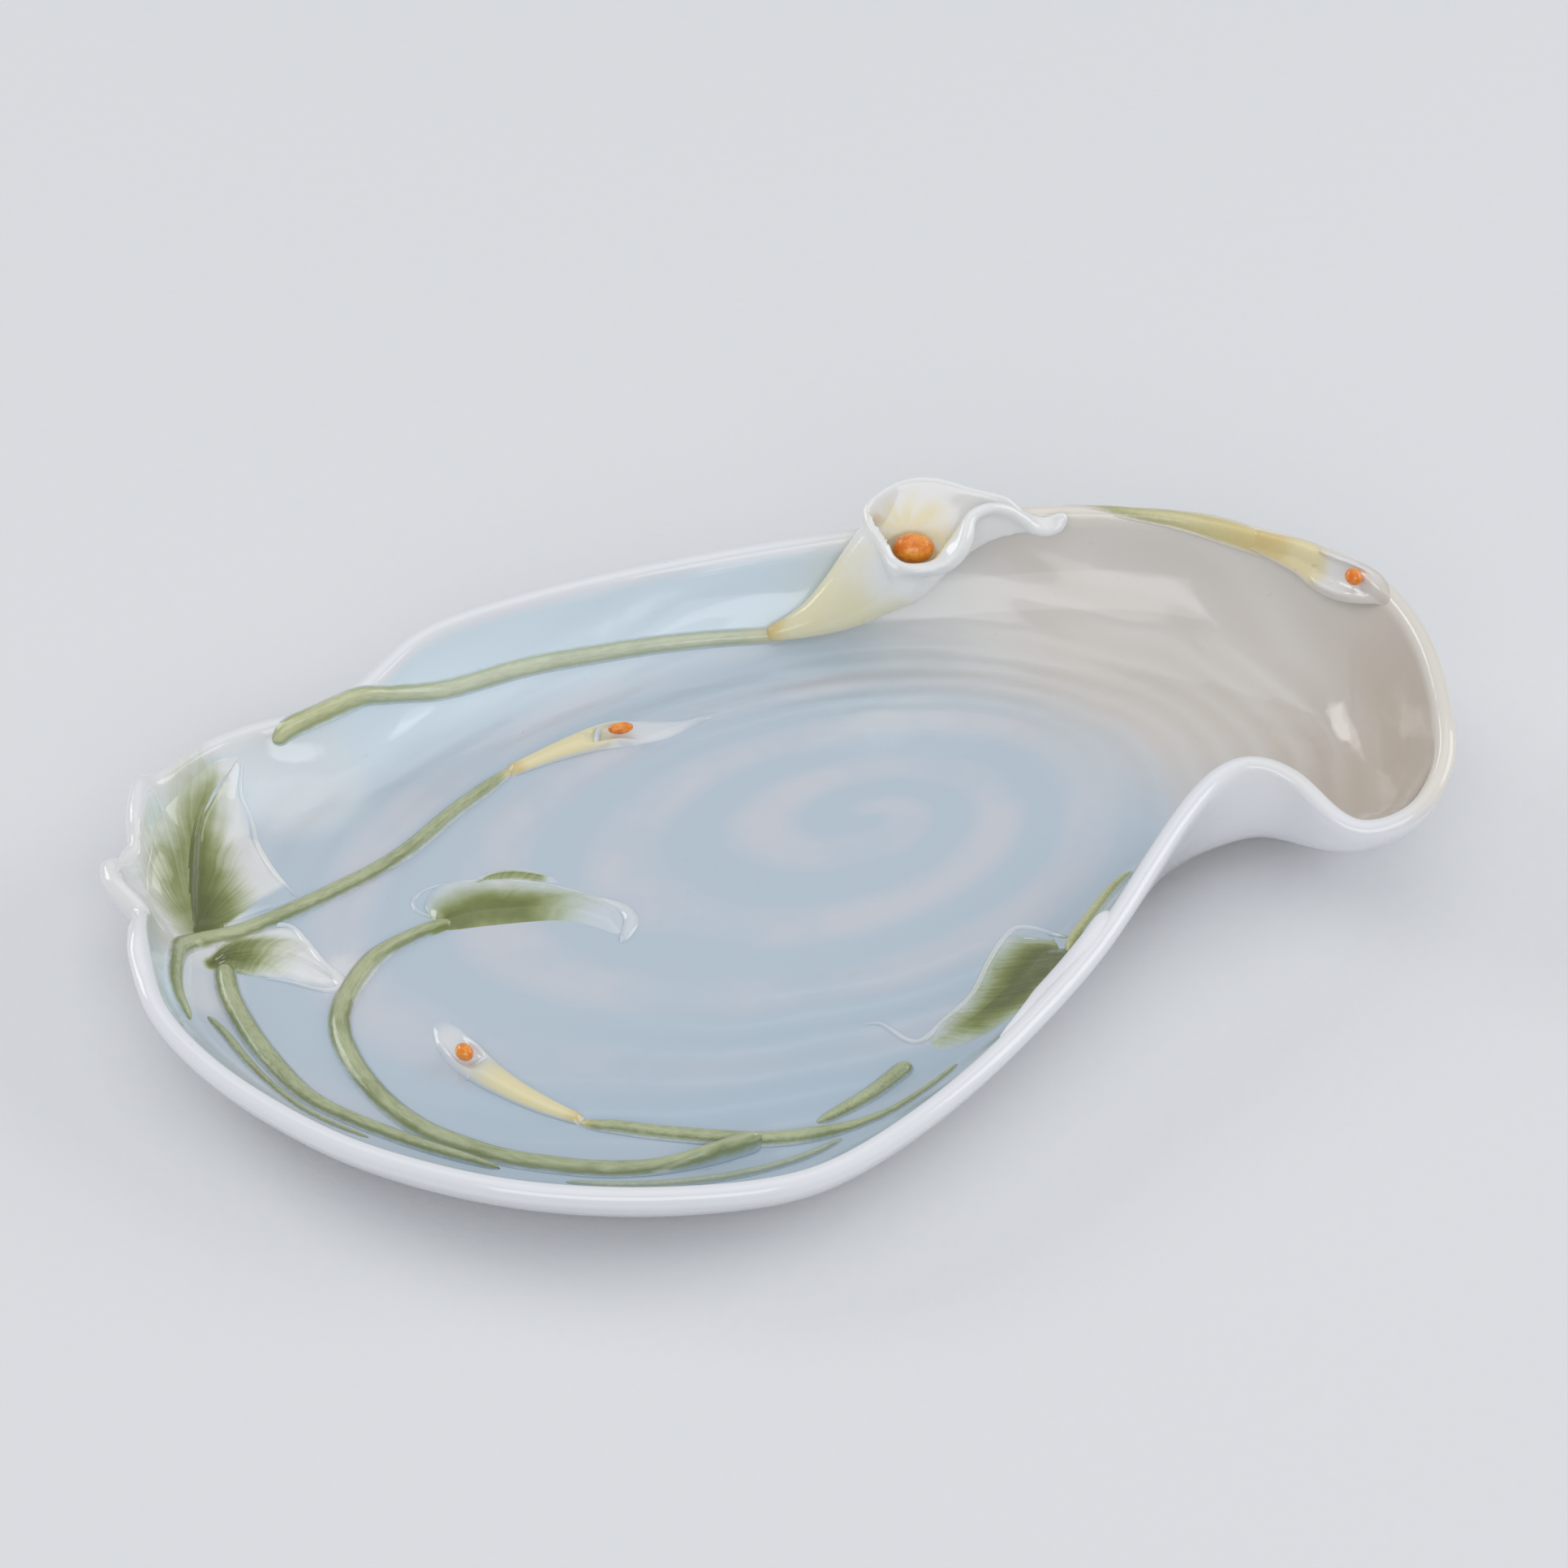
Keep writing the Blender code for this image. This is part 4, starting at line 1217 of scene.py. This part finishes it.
@dataclass
class RolledLily:
    """The large lily: a trumpet whose mouth is rolled outwards, fused and smoothed as soft slip is.

    The mouth's columns are x, y, z and the roll's radius, from the left flap over the hood to the tip
    and back along the front.
    """

    name: str
    neck: Place
    mouth: tuple
    reach: float = 44.0
    yellow: Place = (0.62, 0.10)
    amber: float = 0.16
    voxel: float = 0.32
    softening: int = 28
    sink: float = 0.4
    sinking: tuple[float, float, float] = (-0.5, 0.2, 1.0)
    tube_rise: Place = (21.0, 13.0)
    throat: Place = (12.0, 4.0)
    rays: int = 9
    swelling: float = 1.04
    pebbles: float = 0.05

    def build(self, ground: Ground, petals: Material, finger: Material) -> None:
        """Builds and dresses the lily.

        Args:
            ground: The dish.
            petals: The trumpet's glaze.
            finger: The finger's glaze.
        """
        spathe = copy_of(self.name + "_spathe", self.name + "_petals")
        smoothed(spathe, 2)
        roll = self._roll()
        drop_selection()
        roll.select_set(True)
        spathe.select_set(True)
        bpy.context.view_layer.objects.active = spathe
        bpy.ops.object.join()
        finish_with(spathe, "REMESH", mode="VOXEL", voxel_size=self.voxel * MM)
        finish_with(spathe, "SMOOTH", factor=0.5, iterations=self.softening)
        self._settle(spathe, ground)
        self._paint(spathe)
        brush_leaves(spathe, LEAVES)
        dress(spathe, petals, self.name + "_spathe")
        spadix = copy_of(self.name + "_spadix", self.name + "_finger")
        smoothed(spadix, 2)
        self._pebble(spadix)
        dress(spadix, finger, self.name + "_spadix")

    def _roll(self) -> Piece:
        """Makes the rolled edge.

        Returns:
            A round coil along the mouth.
        """
        line = smooth_line(list(self.mouth) + [self.mouth[0]], 4)[:-1]
        curve = bpy.data.curves.new(self.name + "_roll", "CURVE")
        curve.dimensions = "3D"
        curve.bevel_depth = 1 * MM
        curve.bevel_resolution = 3
        spline = curve.splines.new("POLY")
        spline.use_cyclic_u = True
        spline.points.add(len(line) - 1)
        for point, (x, y, z, radius) in zip(spline.points, line):
            point.co = (x * MM, y * MM, z * MM, 1.0)
            point.radius = radius
        roll = bpy.data.objects.new(self.name + "_roll", curve)
        bpy.context.scene.collection.objects.link(roll)
        take(roll)
        bpy.ops.object.convert(target="MESH")
        return bpy.context.active_object

    def _settle(self, spathe: Piece, ground: Ground) -> None:
        """Sinks what lies on the dish a little into its glaze.

        Args:
            spathe: The trumpet.
            ground: The dish.
        """
        lowest, start, end = (height * MM for height in self.sinking)
        for v in spathe.data.vertices:
            near, normal = ground.tree.find_nearest(v.co)[:2]
            height = (v.co - near).dot(normal)
            if lowest < height < end:
                v.co -= normal * self.sink * MM * (1 - fade(height, start, end))

    def _paint(self, spathe: Piece) -> None:
        """Marks where the tube and the throat are yellow, and the neck amber.

        Args:
            spathe: The trumpet.
        """
        neck = Vector(self.neck)
        low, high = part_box(self.name + "_spadix")
        heart = (Vector(low) + Vector(high)) / 2
        paint, ripe = [], []
        for v in spathe.data.vertices:
            share = (v.co.xy / MM - neck).length / self.reach
            tube = share - 0.22 * fade(v.co.z / MM, *self.tube_rise)
            away = heart - v.co
            inward = fade(v.normal.dot(away.normalized()), 0.0, 0.5)
            rays = 0.5 + 0.5 * math.sin(self.rays * math.atan2(away.z, away.x))
            throat = inward * (0.6 + 0.4 * rays) * fade(away.length / MM, *self.throat)
            paint.append(max(0.85 * fade(tube, *self.yellow) * (1 - 0.9 * inward), throat))
            ripe.append(fade(share, self.amber, 0.0) * (1 - inward))
        brush(spathe, paint=paint, ripe=ripe, cover=[1.0] * len(paint))

    def _pebble(self, spadix: Piece) -> None:
        """Swells the finger and makes it slightly uneven, as a hand-rolled bead of slip is.

        Args:
            spadix: The finger.
        """
        centre = sum((v.co for v in spadix.data.vertices), Vector()) / len(spadix.data.vertices)
        for v in spadix.data.vertices:
            out = v.co - centre
            wave = math.sin(9 * out.x / MM) * math.sin(7 * out.y / MM + 5 * out.z / MM)
            v.co = centre + out * self.swelling + v.normal * (self.pebbles * MM * wave)


# The studio


@dataclass
class Studio:
    """The floor, the lamps and the camera. Lengths are in millimetres, but the floor's size is in metres.

    A lamp's columns are its name, where it hangs and its two sides in metres, and its power in watts.
    """

    target: tuple[float, float, float] = (7.15, 28.92, 0.0)
    eye: tuple[float, float, float] = (-205.0, -554.1, 520.5)
    lens: float = 85.0
    sensor: float = 24.0
    floor_size: float = 4.0
    floor_drop: float = 0.05
    air_colour: tuple = (0.93, 0.96, 1.0, 1.0)
    air: float = 0.47
    lamps: tuple = (
        ("window", (-0.70, 0.90, 0.62), (0.7, 0.45), 2.9),
        ("side", (1.0, -0.1, 0.55), (0.9, 0.6), 3.1),
        ("ceiling", (0.0, 0.10, 1.35), (1.5, 1.5), 3.8),
        ("front", (-0.45, -1.1, 0.75), (1.2, 0.7), 4.7),
    )

    def build(self, paper: Material) -> None:
        """Builds the studio.

        Args:
            paper: The floor's finish.
        """
        drop_selection()
        bpy.ops.mesh.primitive_grid_add(x_subdivisions=20, y_subdivisions=20, size=self.floor_size)
        floor = bpy.context.active_object
        floor.name = "table"
        for v in floor.data.vertices:
            v.co.z = -self.floor_drop * MM
        floor.data.materials.append(paper)
        self._camera()
        for lamp in self.lamps:
            self._lamp(*lamp)
        world = bpy.data.worlds.new("studio_air")
        bpy.context.scene.world = world
        world.use_nodes = True
        air = world.node_tree.nodes["Background"]
        air.inputs["Color"].default_value = self.air_colour
        air.inputs["Strength"].default_value = self.air
        bpy.context.scene.view_settings.view_transform = "Standard"

    def _camera(self) -> None:
        """Sets the camera at the photograph's angle."""
        eye, target = Vector(self.eye) * MM, Vector(self.target) * MM
        data = bpy.data.cameras.new("photo_camera")
        data.lens = self.lens
        data.sensor_fit = "HORIZONTAL"
        data.sensor_width = self.sensor
        data.sensor_height = self.sensor
        data.clip_start = 0.01
        camera = bpy.data.objects.new("photo_camera", data)
        bpy.context.scene.collection.objects.link(camera)
        camera.location = eye
        camera.rotation_euler = (target - eye).to_track_quat("-Z", "Y").to_euler()
        bpy.context.scene.camera = camera

    def _lamp(self, name: str, place: tuple, size: Place, power: float) -> None:
        """Hangs a soft lamp that faces the dish.

        Args:
            name: Its name.
            place: Where it hangs, in metres.
            size: Its two sides, in metres.
            power: Its power in watts.
        """
        data = bpy.data.lights.new(name, "AREA")
        data.shape = "RECTANGLE"
        data.size, data.size_y = size
        data.energy = power
        lamp = bpy.data.objects.new(name, data)
        bpy.context.scene.collection.objects.link(lamp)
        lamp.location = place
        lamp.rotation_euler = (-Vector(place)).to_track_quat("-Z", "Y").to_euler()


# How far the lip rises by its turn about the corner leaf's base, in degrees and millimetres
PLEATS = (
    (60, 0), (75, 0.4), (88, -0.3), (98, 1.6), (107, 1.1), (117, -1.6), (129, -0.8), (142, 1.7),
    (156, 1.6), (170, 0.4), (181, -1.2), (190, -0.9), (202, 1.3), (214, 2.1), (230, 1.4), (250, 0.4),
    (268, 0),
)

# White clouds in the glaze: x, y, reach and strength
MILK = (
    (-90, 24, 18, 0.95), (-88, 22, 9, 0.7), (-86, 8, 7, 0.5), (-66, 5, 5, 0.6),
    (-80, 46, 8, 0.8), (-67, 49, 6, 0.6), (-61, 44, 12, 0.45),
    (38, 40, 16, 0.35),
)

STEMS = (
    SlipStem("middle_lily_stem", (
        (-30.8, 38.9, 0.4), (-33.2, 37.8, 0.65), (-35.9, 36.2, 0.8), (-42.3, 32.5, 0.85),
        (-50.5, 27, 0.9), (-58, 23.6, 0.95), (-70.5, 19.8), (-77.5, 18.2), (-83, 18.2),
        (-86.6, 16.1), (-89.2, 9.8), (-90.4, 4), (-89.6, -0.1, 0.5),
    ), ripe_first=0.05),
    SlipStem("centre_leaf_stem", (
        (-48.6, 10, 0.5), (-51.6, 9.9, 0.8), (-55.8, 9, 0.85), (-61.2, 6.8), (-65.8, 2.4),
        (-69, -2.2), (-70.5, -7.3), (-70.3, -14.7), (-68.4, -22.5), (-65.4, -28.6), (-61.2, -33.6),
        (-56.5, -37.9), (-49.9, -42), (-44.8, -44.5), (-39.5, -46.1, 0.95), (-35.4, -46.8, 0.9, 0.5),
        (-31.6, -47.1, 0.9, 1.1), (-26.8, -46.9, 0.9, 1.3), (-23.4, -46.8, 0.85, 1.3),
    )),
    SlipStem("corner_leaf_stem", (
        (-81.6, 12.6, 0.9), (-82.4, 8), (-82.6, 3.9), (-81.8, -4), (-80.3, -11, 0.95),
        (-78.3, -17.2, 0.9), (-75.2, -22.1, 0.85), (-71.1, -26.9, 0.8), (-66.5, -31.8, 0.75),
        (-62, -36.2, 0.55, 0.3), (-58, -39.8, 0.3, 0.2),
    )),
    SlipStem("wall_strand", (
        (-51, -45.1, 0.25), (-45.7, -47.9, 0.5), (-40.3, -49.8, 0.55), (-35, -51, 0.55),
        (-29.7, -51.7, 0.55), (-24, -51.8, 0.5), (-18, -51.2, 0.45), (-12.9, -49.8, 0.3),
    ), strength=0.7, firm=0.7),
    SlipStem("corner_leaf_tendril", (
        (-86.8, 2.4, 0.35), (-85.4, -1.6, 0.45), (-84.1, -7.5, 0.45), (-82.6, -12.7, 0.4),
        (-79.8, -20, 0.4), (-76.6, -24.6, 0.35), (-72.6, -28.6, 0.25),
    )),
    SlipStem("front_lily_stem", (
        (-45.4, -34.6, 0.4), (-43.2, -36, 0.65), (-40.3, -37.6, 0.8), (-35.2, -40.6, 0.85),
        (-27.2, -44.6, 0.9), (-22.1, -46.6, 0.9), (-16.8, -47.6, 0.85), (-11, -47.9, 0.6),
        (-4.7, -47.1, 0.45), (2.1, -44.7, 0.4), (6.4, -42.4, 0.3),
    ), ripe_first=0.05),
    SlipStem("cut_stem", (
        (-15.5, -45.6, 0.35), (-12.1, -44.8, 0.65), (-5.7, -42.5, 0.8), (0.9, -38.9, 0.9),
    )),
)

PALE_STEMS = (
    SlipStem("large_lily_stem", (
        (16.5, 50.6, 0.75), (12.2, 51.6, 0.75), (2.4, 53.7, 0.8), (-9.5, 55.2, 0.85), (-24.4, 55.7, 0.9),
        (-39.9, 53.7, 0.9), (-47.8, 51.5, 0.9, 0.2), (-52.4, 50.5, 1, 0.2), (-57.1, 49.7, 1, 0.1),
        (-60.9, 49.5), (-63.9, 49.2),
    ), ripe_first=0.12, strength=0.7),
    SlipStem("side_leaf_stem", (
        (28, -28.4, 0.5), (29.9, -26.3, 0.8), (32.2, -24.1), (35, -21.5), (38.2, -18.5, 0.9),
        (41.4, -15.7, 0.7), (44.2, -13.6, 0.35),
    )),
    SlipStem("rim_lily_stem", (
        (57.4, 49.2, 0.3), (64.4, 45.3, 0.5), (71.8, 40.5, 0.65), (78.2, 35, 0.85), (82.6, 30.5, 0.8),
        (85.4, 27.2, 0.5),
    ), ripe_last=0.9, width=4.4, height=0.4, fading=0.4, strength=0.85),
)

FOLD = Trail("side_leaf_fold", (
    (10.4, -46.4, 0.15), (14.8, -43.4, 0.5), (19.5, -39.7, 0.85), (24, -36.8, 1.05),
    (27.9, -34.3, 1.1), (31.1, -31.9, 0.9), (33.5, -29.9, 0.3),
), width=4.4, height=1.4, across=16)

LEAVES = (
    LaidLeaf(
        "centre_leaf",
        ((-51.6, 11.6), (-51.8, 15.2), (-48.6, 18.4), (-43.5, 17.8), (-38.2, 15.7), (-33.2, 12.4),
         (-28.6, 8.4), (-25.6, 4.2)),
        ((-52, 9.9), (-49.2, 11.2), (-45.6, 11.9), (-41.2, 11), (-37, 9.6), (-33, 7.7),
         (-29.2, 4.4), (-26.6, 1.2)),
        ((-51.4, 8.6), (-48.2, 8), (-43, 7), (-38.6, 6.1), (-34.8, 5), (-31.6, 3),
         (-29, 0.2), (-27.6, -1.6)),
        ((0, 4, 5.5), (0.12, 6, 8.5), (0.3, 7, 8.5), (0.5, 6, 8.5), (0.65, 5.4, 7.5),
         (1, 4, 5)),
        soft=(4.6, 4.0), least=(-0.45, -0.45), green_end=0.60, end_soft=0.28, white=0.35, beads=(0.4, 0.0),
        swell=(0.8, 0.8), strokes=0.12,
    ),
    LaidLeaf(
        "centre_flap",
        ((-43.6, 17.9), (-40.3, 18.9), (-36.6, 18.1), (-32.6, 14.4)),
        ((-43, 17.2), (-39.9, 17.6), (-36.5, 16.5), (-32.4, 13.6)),
        ((-42.4, 16.6), (-39.6, 16), (-36.3, 14.6), (-32.2, 12.6)),
        ((0, 0.5, 1.2), (0.3, 0.9, 2), (0.7, 0.8, 2), (1, 0.3, 0.8)),
        soft=(1.2, 1.0), least=(0.0, -0.1), green_end=0.8, white=0.3, beads=(0.2, 0.0), swell=(0.35, 0.35),
        across=12, along=20,
    ),
    LaidLeaf(
        "side_leaf",
        ((28.9, -23), (27.5, -19.6), (24.5, -18.3), (21.5, -20.4), (18.3, -23.8), (13.8, -29),
         (8.5, -32.4), (3.8, -35.4)),
        ((28.4, -25.5), (25.6, -26.2), (22, -28), (17, -31.3), (11, -34.5), (4.5, -37)),
        ((29.6, -28.2), (26.4, -32.4), (21.6, -35.4), (16.2, -38.2), (10.6, -38.8), (5.2, -38.2)),
        ((0, 6, 11), (0.12, 8.4, 11), (0.3, 7.8, 11), (0.45, 6.6, 10), (0.7, 5, 7),
         (1, 2.5, 3)),
        soft=(4.2, 4.2), least=(-0.75, -0.75), green_end=0.82, end_soft=0.36, white=0.3, beads=(0.4, 0.0),
        ruffle=0.05, strokes=0.9,
    ),
    LaidLeaf(
        "corner_leaf",
        ((-86.4, 19.4), (-88.4, 22.6), (-88.6, 27), (-86.4, 32.4), (-84.2, 37.4), (-81.2, 41.8),
         (-76.6, 45), (-71.8, 47.8)),
        ((-83.6, 20.4), (-82.4, 26.9), (-80.8, 32.9), (-79, 37.7), (-77.3, 41), (-75.2, 43.3),
         (-72.4, 45.8), (-68.8, 48.3)),
        ((-80, 20.6), (-73.5, 21.2), (-68.3, 22.6), (-69.6, 28), (-70.2, 35), (-69.8, 40.7),
         (-70, 44.1), (-68.2, 47.9)),
        ((0, 6, 11), (0.15, 8, 11), (0.3, 8.5, 10), (0.5, 7, 8.5), (0.7, 6, 6),
         (0.85, 5, 3.5), (1, 2.5, 1.5)),
        soft=(5.5, 5.0), least=(-0.12, -2.0), green_end=0.78, end_soft=0.14, beads=(0.0, 0.35),
        swell=(0.2, 0.25), fold=1.0, fan=4.0, spreads=True,
    ),
    LaidLeaf(
        "corner_leaf_lobe",
        ((-83, 14.4), (-80, 16.4), (-75.2, 17.8), (-70.8, 16.8), (-69.6, 13), (-68.5, 8),
         (-67.4, 3.4)),
        ((-82.8, 13.2), (-80, 13.4), (-76, 12.6), (-72.5, 10.5), (-69.6, 6.8), (-68, 3.2)),
        ((-82.6, 12), (-80.6, 10.2), (-77.3, 7.9), (-74.1, 5.9), (-71.5, 3.6), (-69.3, 2),
         (-68, 2.6)),
        ((0, 5, 5), (0.2, 5.5, 6), (0.45, 4.5, 5), (1, 1.5, 1.5)),
        soft=(2.4, 3.0), green_end=0.36, end_soft=0.34, beads=(0.3, 0.3), swell=(0.7, 0.5), groove=0.35,
        ruffle=0.05, spreads=True,
    ),
)

TRAILS = (
    Trail("corner_hem", (
        (-68.4, 48.2, 0.5), (-70.2, 44.1, 0.9), (-69.8, 40.7), (-70.3, 35), (-69.6, 28.4, 0.9),
        (-68, 22.4, 0.5),
    ), strength=0.35),
    Trail("lobe_hem", (
        (-82, 15.6, 0.4), (-79.7, 17.2, 0.9), (-74.7, 18.3), (-70.8, 17.1), (-69.6, 13, 1.1),
        (-68.6, 8, 1.2), (-67.4, 3.8, 1.9), (-67.9, 2.2, 1.6), (-70.5, 2.8, 0.8), (-74, 5.8, 0.7),
        (-77.5, 8, 0.5),
    ), height=0.45, strength=0.45),
    Trail("centre_hem", (
        (-49.8, 10.6, 0.5), (-51.6, 12.2), (-53.2, 14.4), (-52.6, 17), (-49.6, 18.2, 0.9),
        (-45, 17.8, 0.8), (-41, 16.6, 0.8), (-37.4, 15.2, 0.8), (-33.6, 12.7, 0.8),
        (-30.2, 9.8, 0.8), (-27.2, 6.9, 0.9), (-25.2, 4, 0.8),
    ), width=0.8, height=0.25, strength=0.18),
    Trail("centre_curl", (
        (-29.5, 8.8, 0.4), (-27.4, 6.8, 0.9), (-25.4, 4.4, 1.2), (-25.4, 1.8, 1.4), (-27, -0.6, 1.1),
        (-28.6, -2.4, 0.5),
    ), width=1.6, height=0.5, strength=0.28),
    Trail("side_hem", (
        (30.2, -24.4, 0.5), (29, -21.6, 0.9), (27, -19), (24.4, -18, 1.1), (21.3, -20.3),
        (18.1, -23.7), (13.6, -29), (8.4, -32.3, 0.9), (4, -35.2), (2.1, -34.6), (0.8, -32, 0.9),
        (-0.5, -29.8, 0.8), (-3.2, -29.2, 0.5),
    ), width=1.1, height=0.4, strength=0.38),
    Trail("middle_mouth", (
        (-16, 43.4, 0.5, 1.5), (-16.9, 42.2, 1, 2.6), (-17.8, 40.2, 1, 2.6), (-18.2, 38.6, 0.5, 0.6),
    ), width=1.2, height=0.35, strength=0.4),
    Trail("front_mouth", (
        (-52.4, -19, 0.5, 0.6), (-53.6, -18.8, 1, 2.4), (-55.6, -20.4, 1, 2.4),
        (-57.2, -21.6, 0.5, 0.4),
    ), width=1.2, height=0.35, strength=0.4),
    Trail("side_crease", (
        (27.6, -24.6, 0.4), (26.2, -21.6, 0.8), (23.8, -20.6, 0.9), (21.4, -22.2, 0.6),
    ), width=0.9, height=0.35, strength=0.45),
)

LARGE_LILY = RolledLily("large_lily", (12.3, 51.5), (
    (29.9, 44, 20.4, 0.5), (29.3, 45.1, 23, 0.8), (29, 47.5, 25, 0.8), (28.6, 50.9, 26, 0.6),
    (28.9, 54.3, 26.3, 0.5), (31.7, 55.8, 27.3, 0.5), (35.2, 56.7, 27.9, 0.5), (38.3, 56, 28.2, 0.5),
    (41.4, 54.4, 28.1, 0.5), (44.2, 52.4, 27.7, 0.5), (47, 51, 27, 0.6), (49.7, 49.9, 26.1, 0.6),
    (51.7, 48.2, 24.1, 0.7), (54.2, 46.7, 23.1, 0.8), (57, 45.4, 24.3, 0.8), (55.9, 44.7, 22.6, 0.8),
    (53, 45.3, 22.7, 1), (51, 46.3, 24.5, 1), (48.5, 47, 26.5, 1), (45.3, 47, 27.5, 1),
    (42.6, 46.1, 27.1, 1), (41.5, 43.9, 25.7, 0.9), (39.7, 42.3, 23.9, 0.9), (36.6, 41.6, 22.6, 0.9),
    (33.5, 42.6, 22, 0.7), (31.4, 43.8, 21, 0.5),
))

SMALL_LILIES = (
    SmallLily("front_lily", (
        (-44.6, -34.8, 0.9, 0.9), (-48.6, -30.2, 1.6, 1.7), (-52, -25.3, 2.1, 2.2),
        (-54.6, -20.4, 2.6, 2.8), (-56, -16, 2.8, 3), (-56.7, -11.8, 2, 2.2),
        (-57, -7.6, 0.6, 0.6),
    ), open_at=0.62, yellow=(0.78, 0.40)),
    SmallLily("middle_lily", (
        (-32.1, 38.4, 1.2, 1.2), (-25, 40.1, 1.9, 1.9), (-18.5, 41.2, 2.5, 2.7),
        (-13.2, 41.3, 2.9, 3.4), (-8, 40.3, 2.2, 2.6), (-3, 40.2, 0.9, 1), (2, 41.4, 0.4, 0.4),
    ), open_at=0.42, flaps=(0.9, 1.2), flap_length=0.22, shift=(0.0, 0.6, -0.4)),
    SmallLily("rim_lily", (
        (81.4, 32.2, 1.2, 1.8), (86.4, 26.6, 1.8, 3.4), (88.9, 22.6, 1.9, 4.4), (90.9, 18.4, 2.2, 4.6),
        (92.2, 14.4, 2, 3.6), (92.8, 11.2, 1.2, 2), (92.9, 8.4, 0.5, 0.6),
    ), open_at=0.44, tube=0.8, flaps=(1.9, 1.3), flap_length=0.46, sheer=0.8, yellow=(0.60, 0.36),
        start=0.01, amber=0.5, shift=(1.0, 0.7, 0.9)),
)

# A paler stem glaze, with the same painted highlight on the crown and painted shade at the foot
PALE_GREEN = StemGlaze(deep=shade(158, 165, 100), light=shade(208, 209, 160), name="pale_stem_glaze")
SMALL_LILY_GLAZE = LilyGlaze(yellow=shade(237, 224, 172), name="small_lily_glaze")


def main() -> None:
    """Builds the dressed dish and its studio."""
    logging.basicConfig(level=logging.INFO, format="%(name)s: %(message)s")
    ground = Dish().build(WellGlaze().make(), BareFoot().make())
    for pieces, glaze in ((STEMS, StemGlaze()), (PALE_STEMS, PALE_GREEN), (LEAVES, LeafGlaze())):
        material = glaze.make()
        for piece in pieces:
            piece.build(ground, material)
    large, finger, petals = LilyGlaze().make(), SpadixGlaze().make(), SMALL_LILY_GLAZE.make()
    LARGE_LILY.build(ground, large, finger)
    for lily in SMALL_LILIES:
        lily.build(ground, petals)
        lily.add_finger(finger)
    FOLD.build(ground, WellGlaze(name="fold_glaze").make())
    for trail in TRAILS:
        trail.build(ground, petals)
    Studio().build(TablePaper().make())


if __name__ == "__main__":
    main()
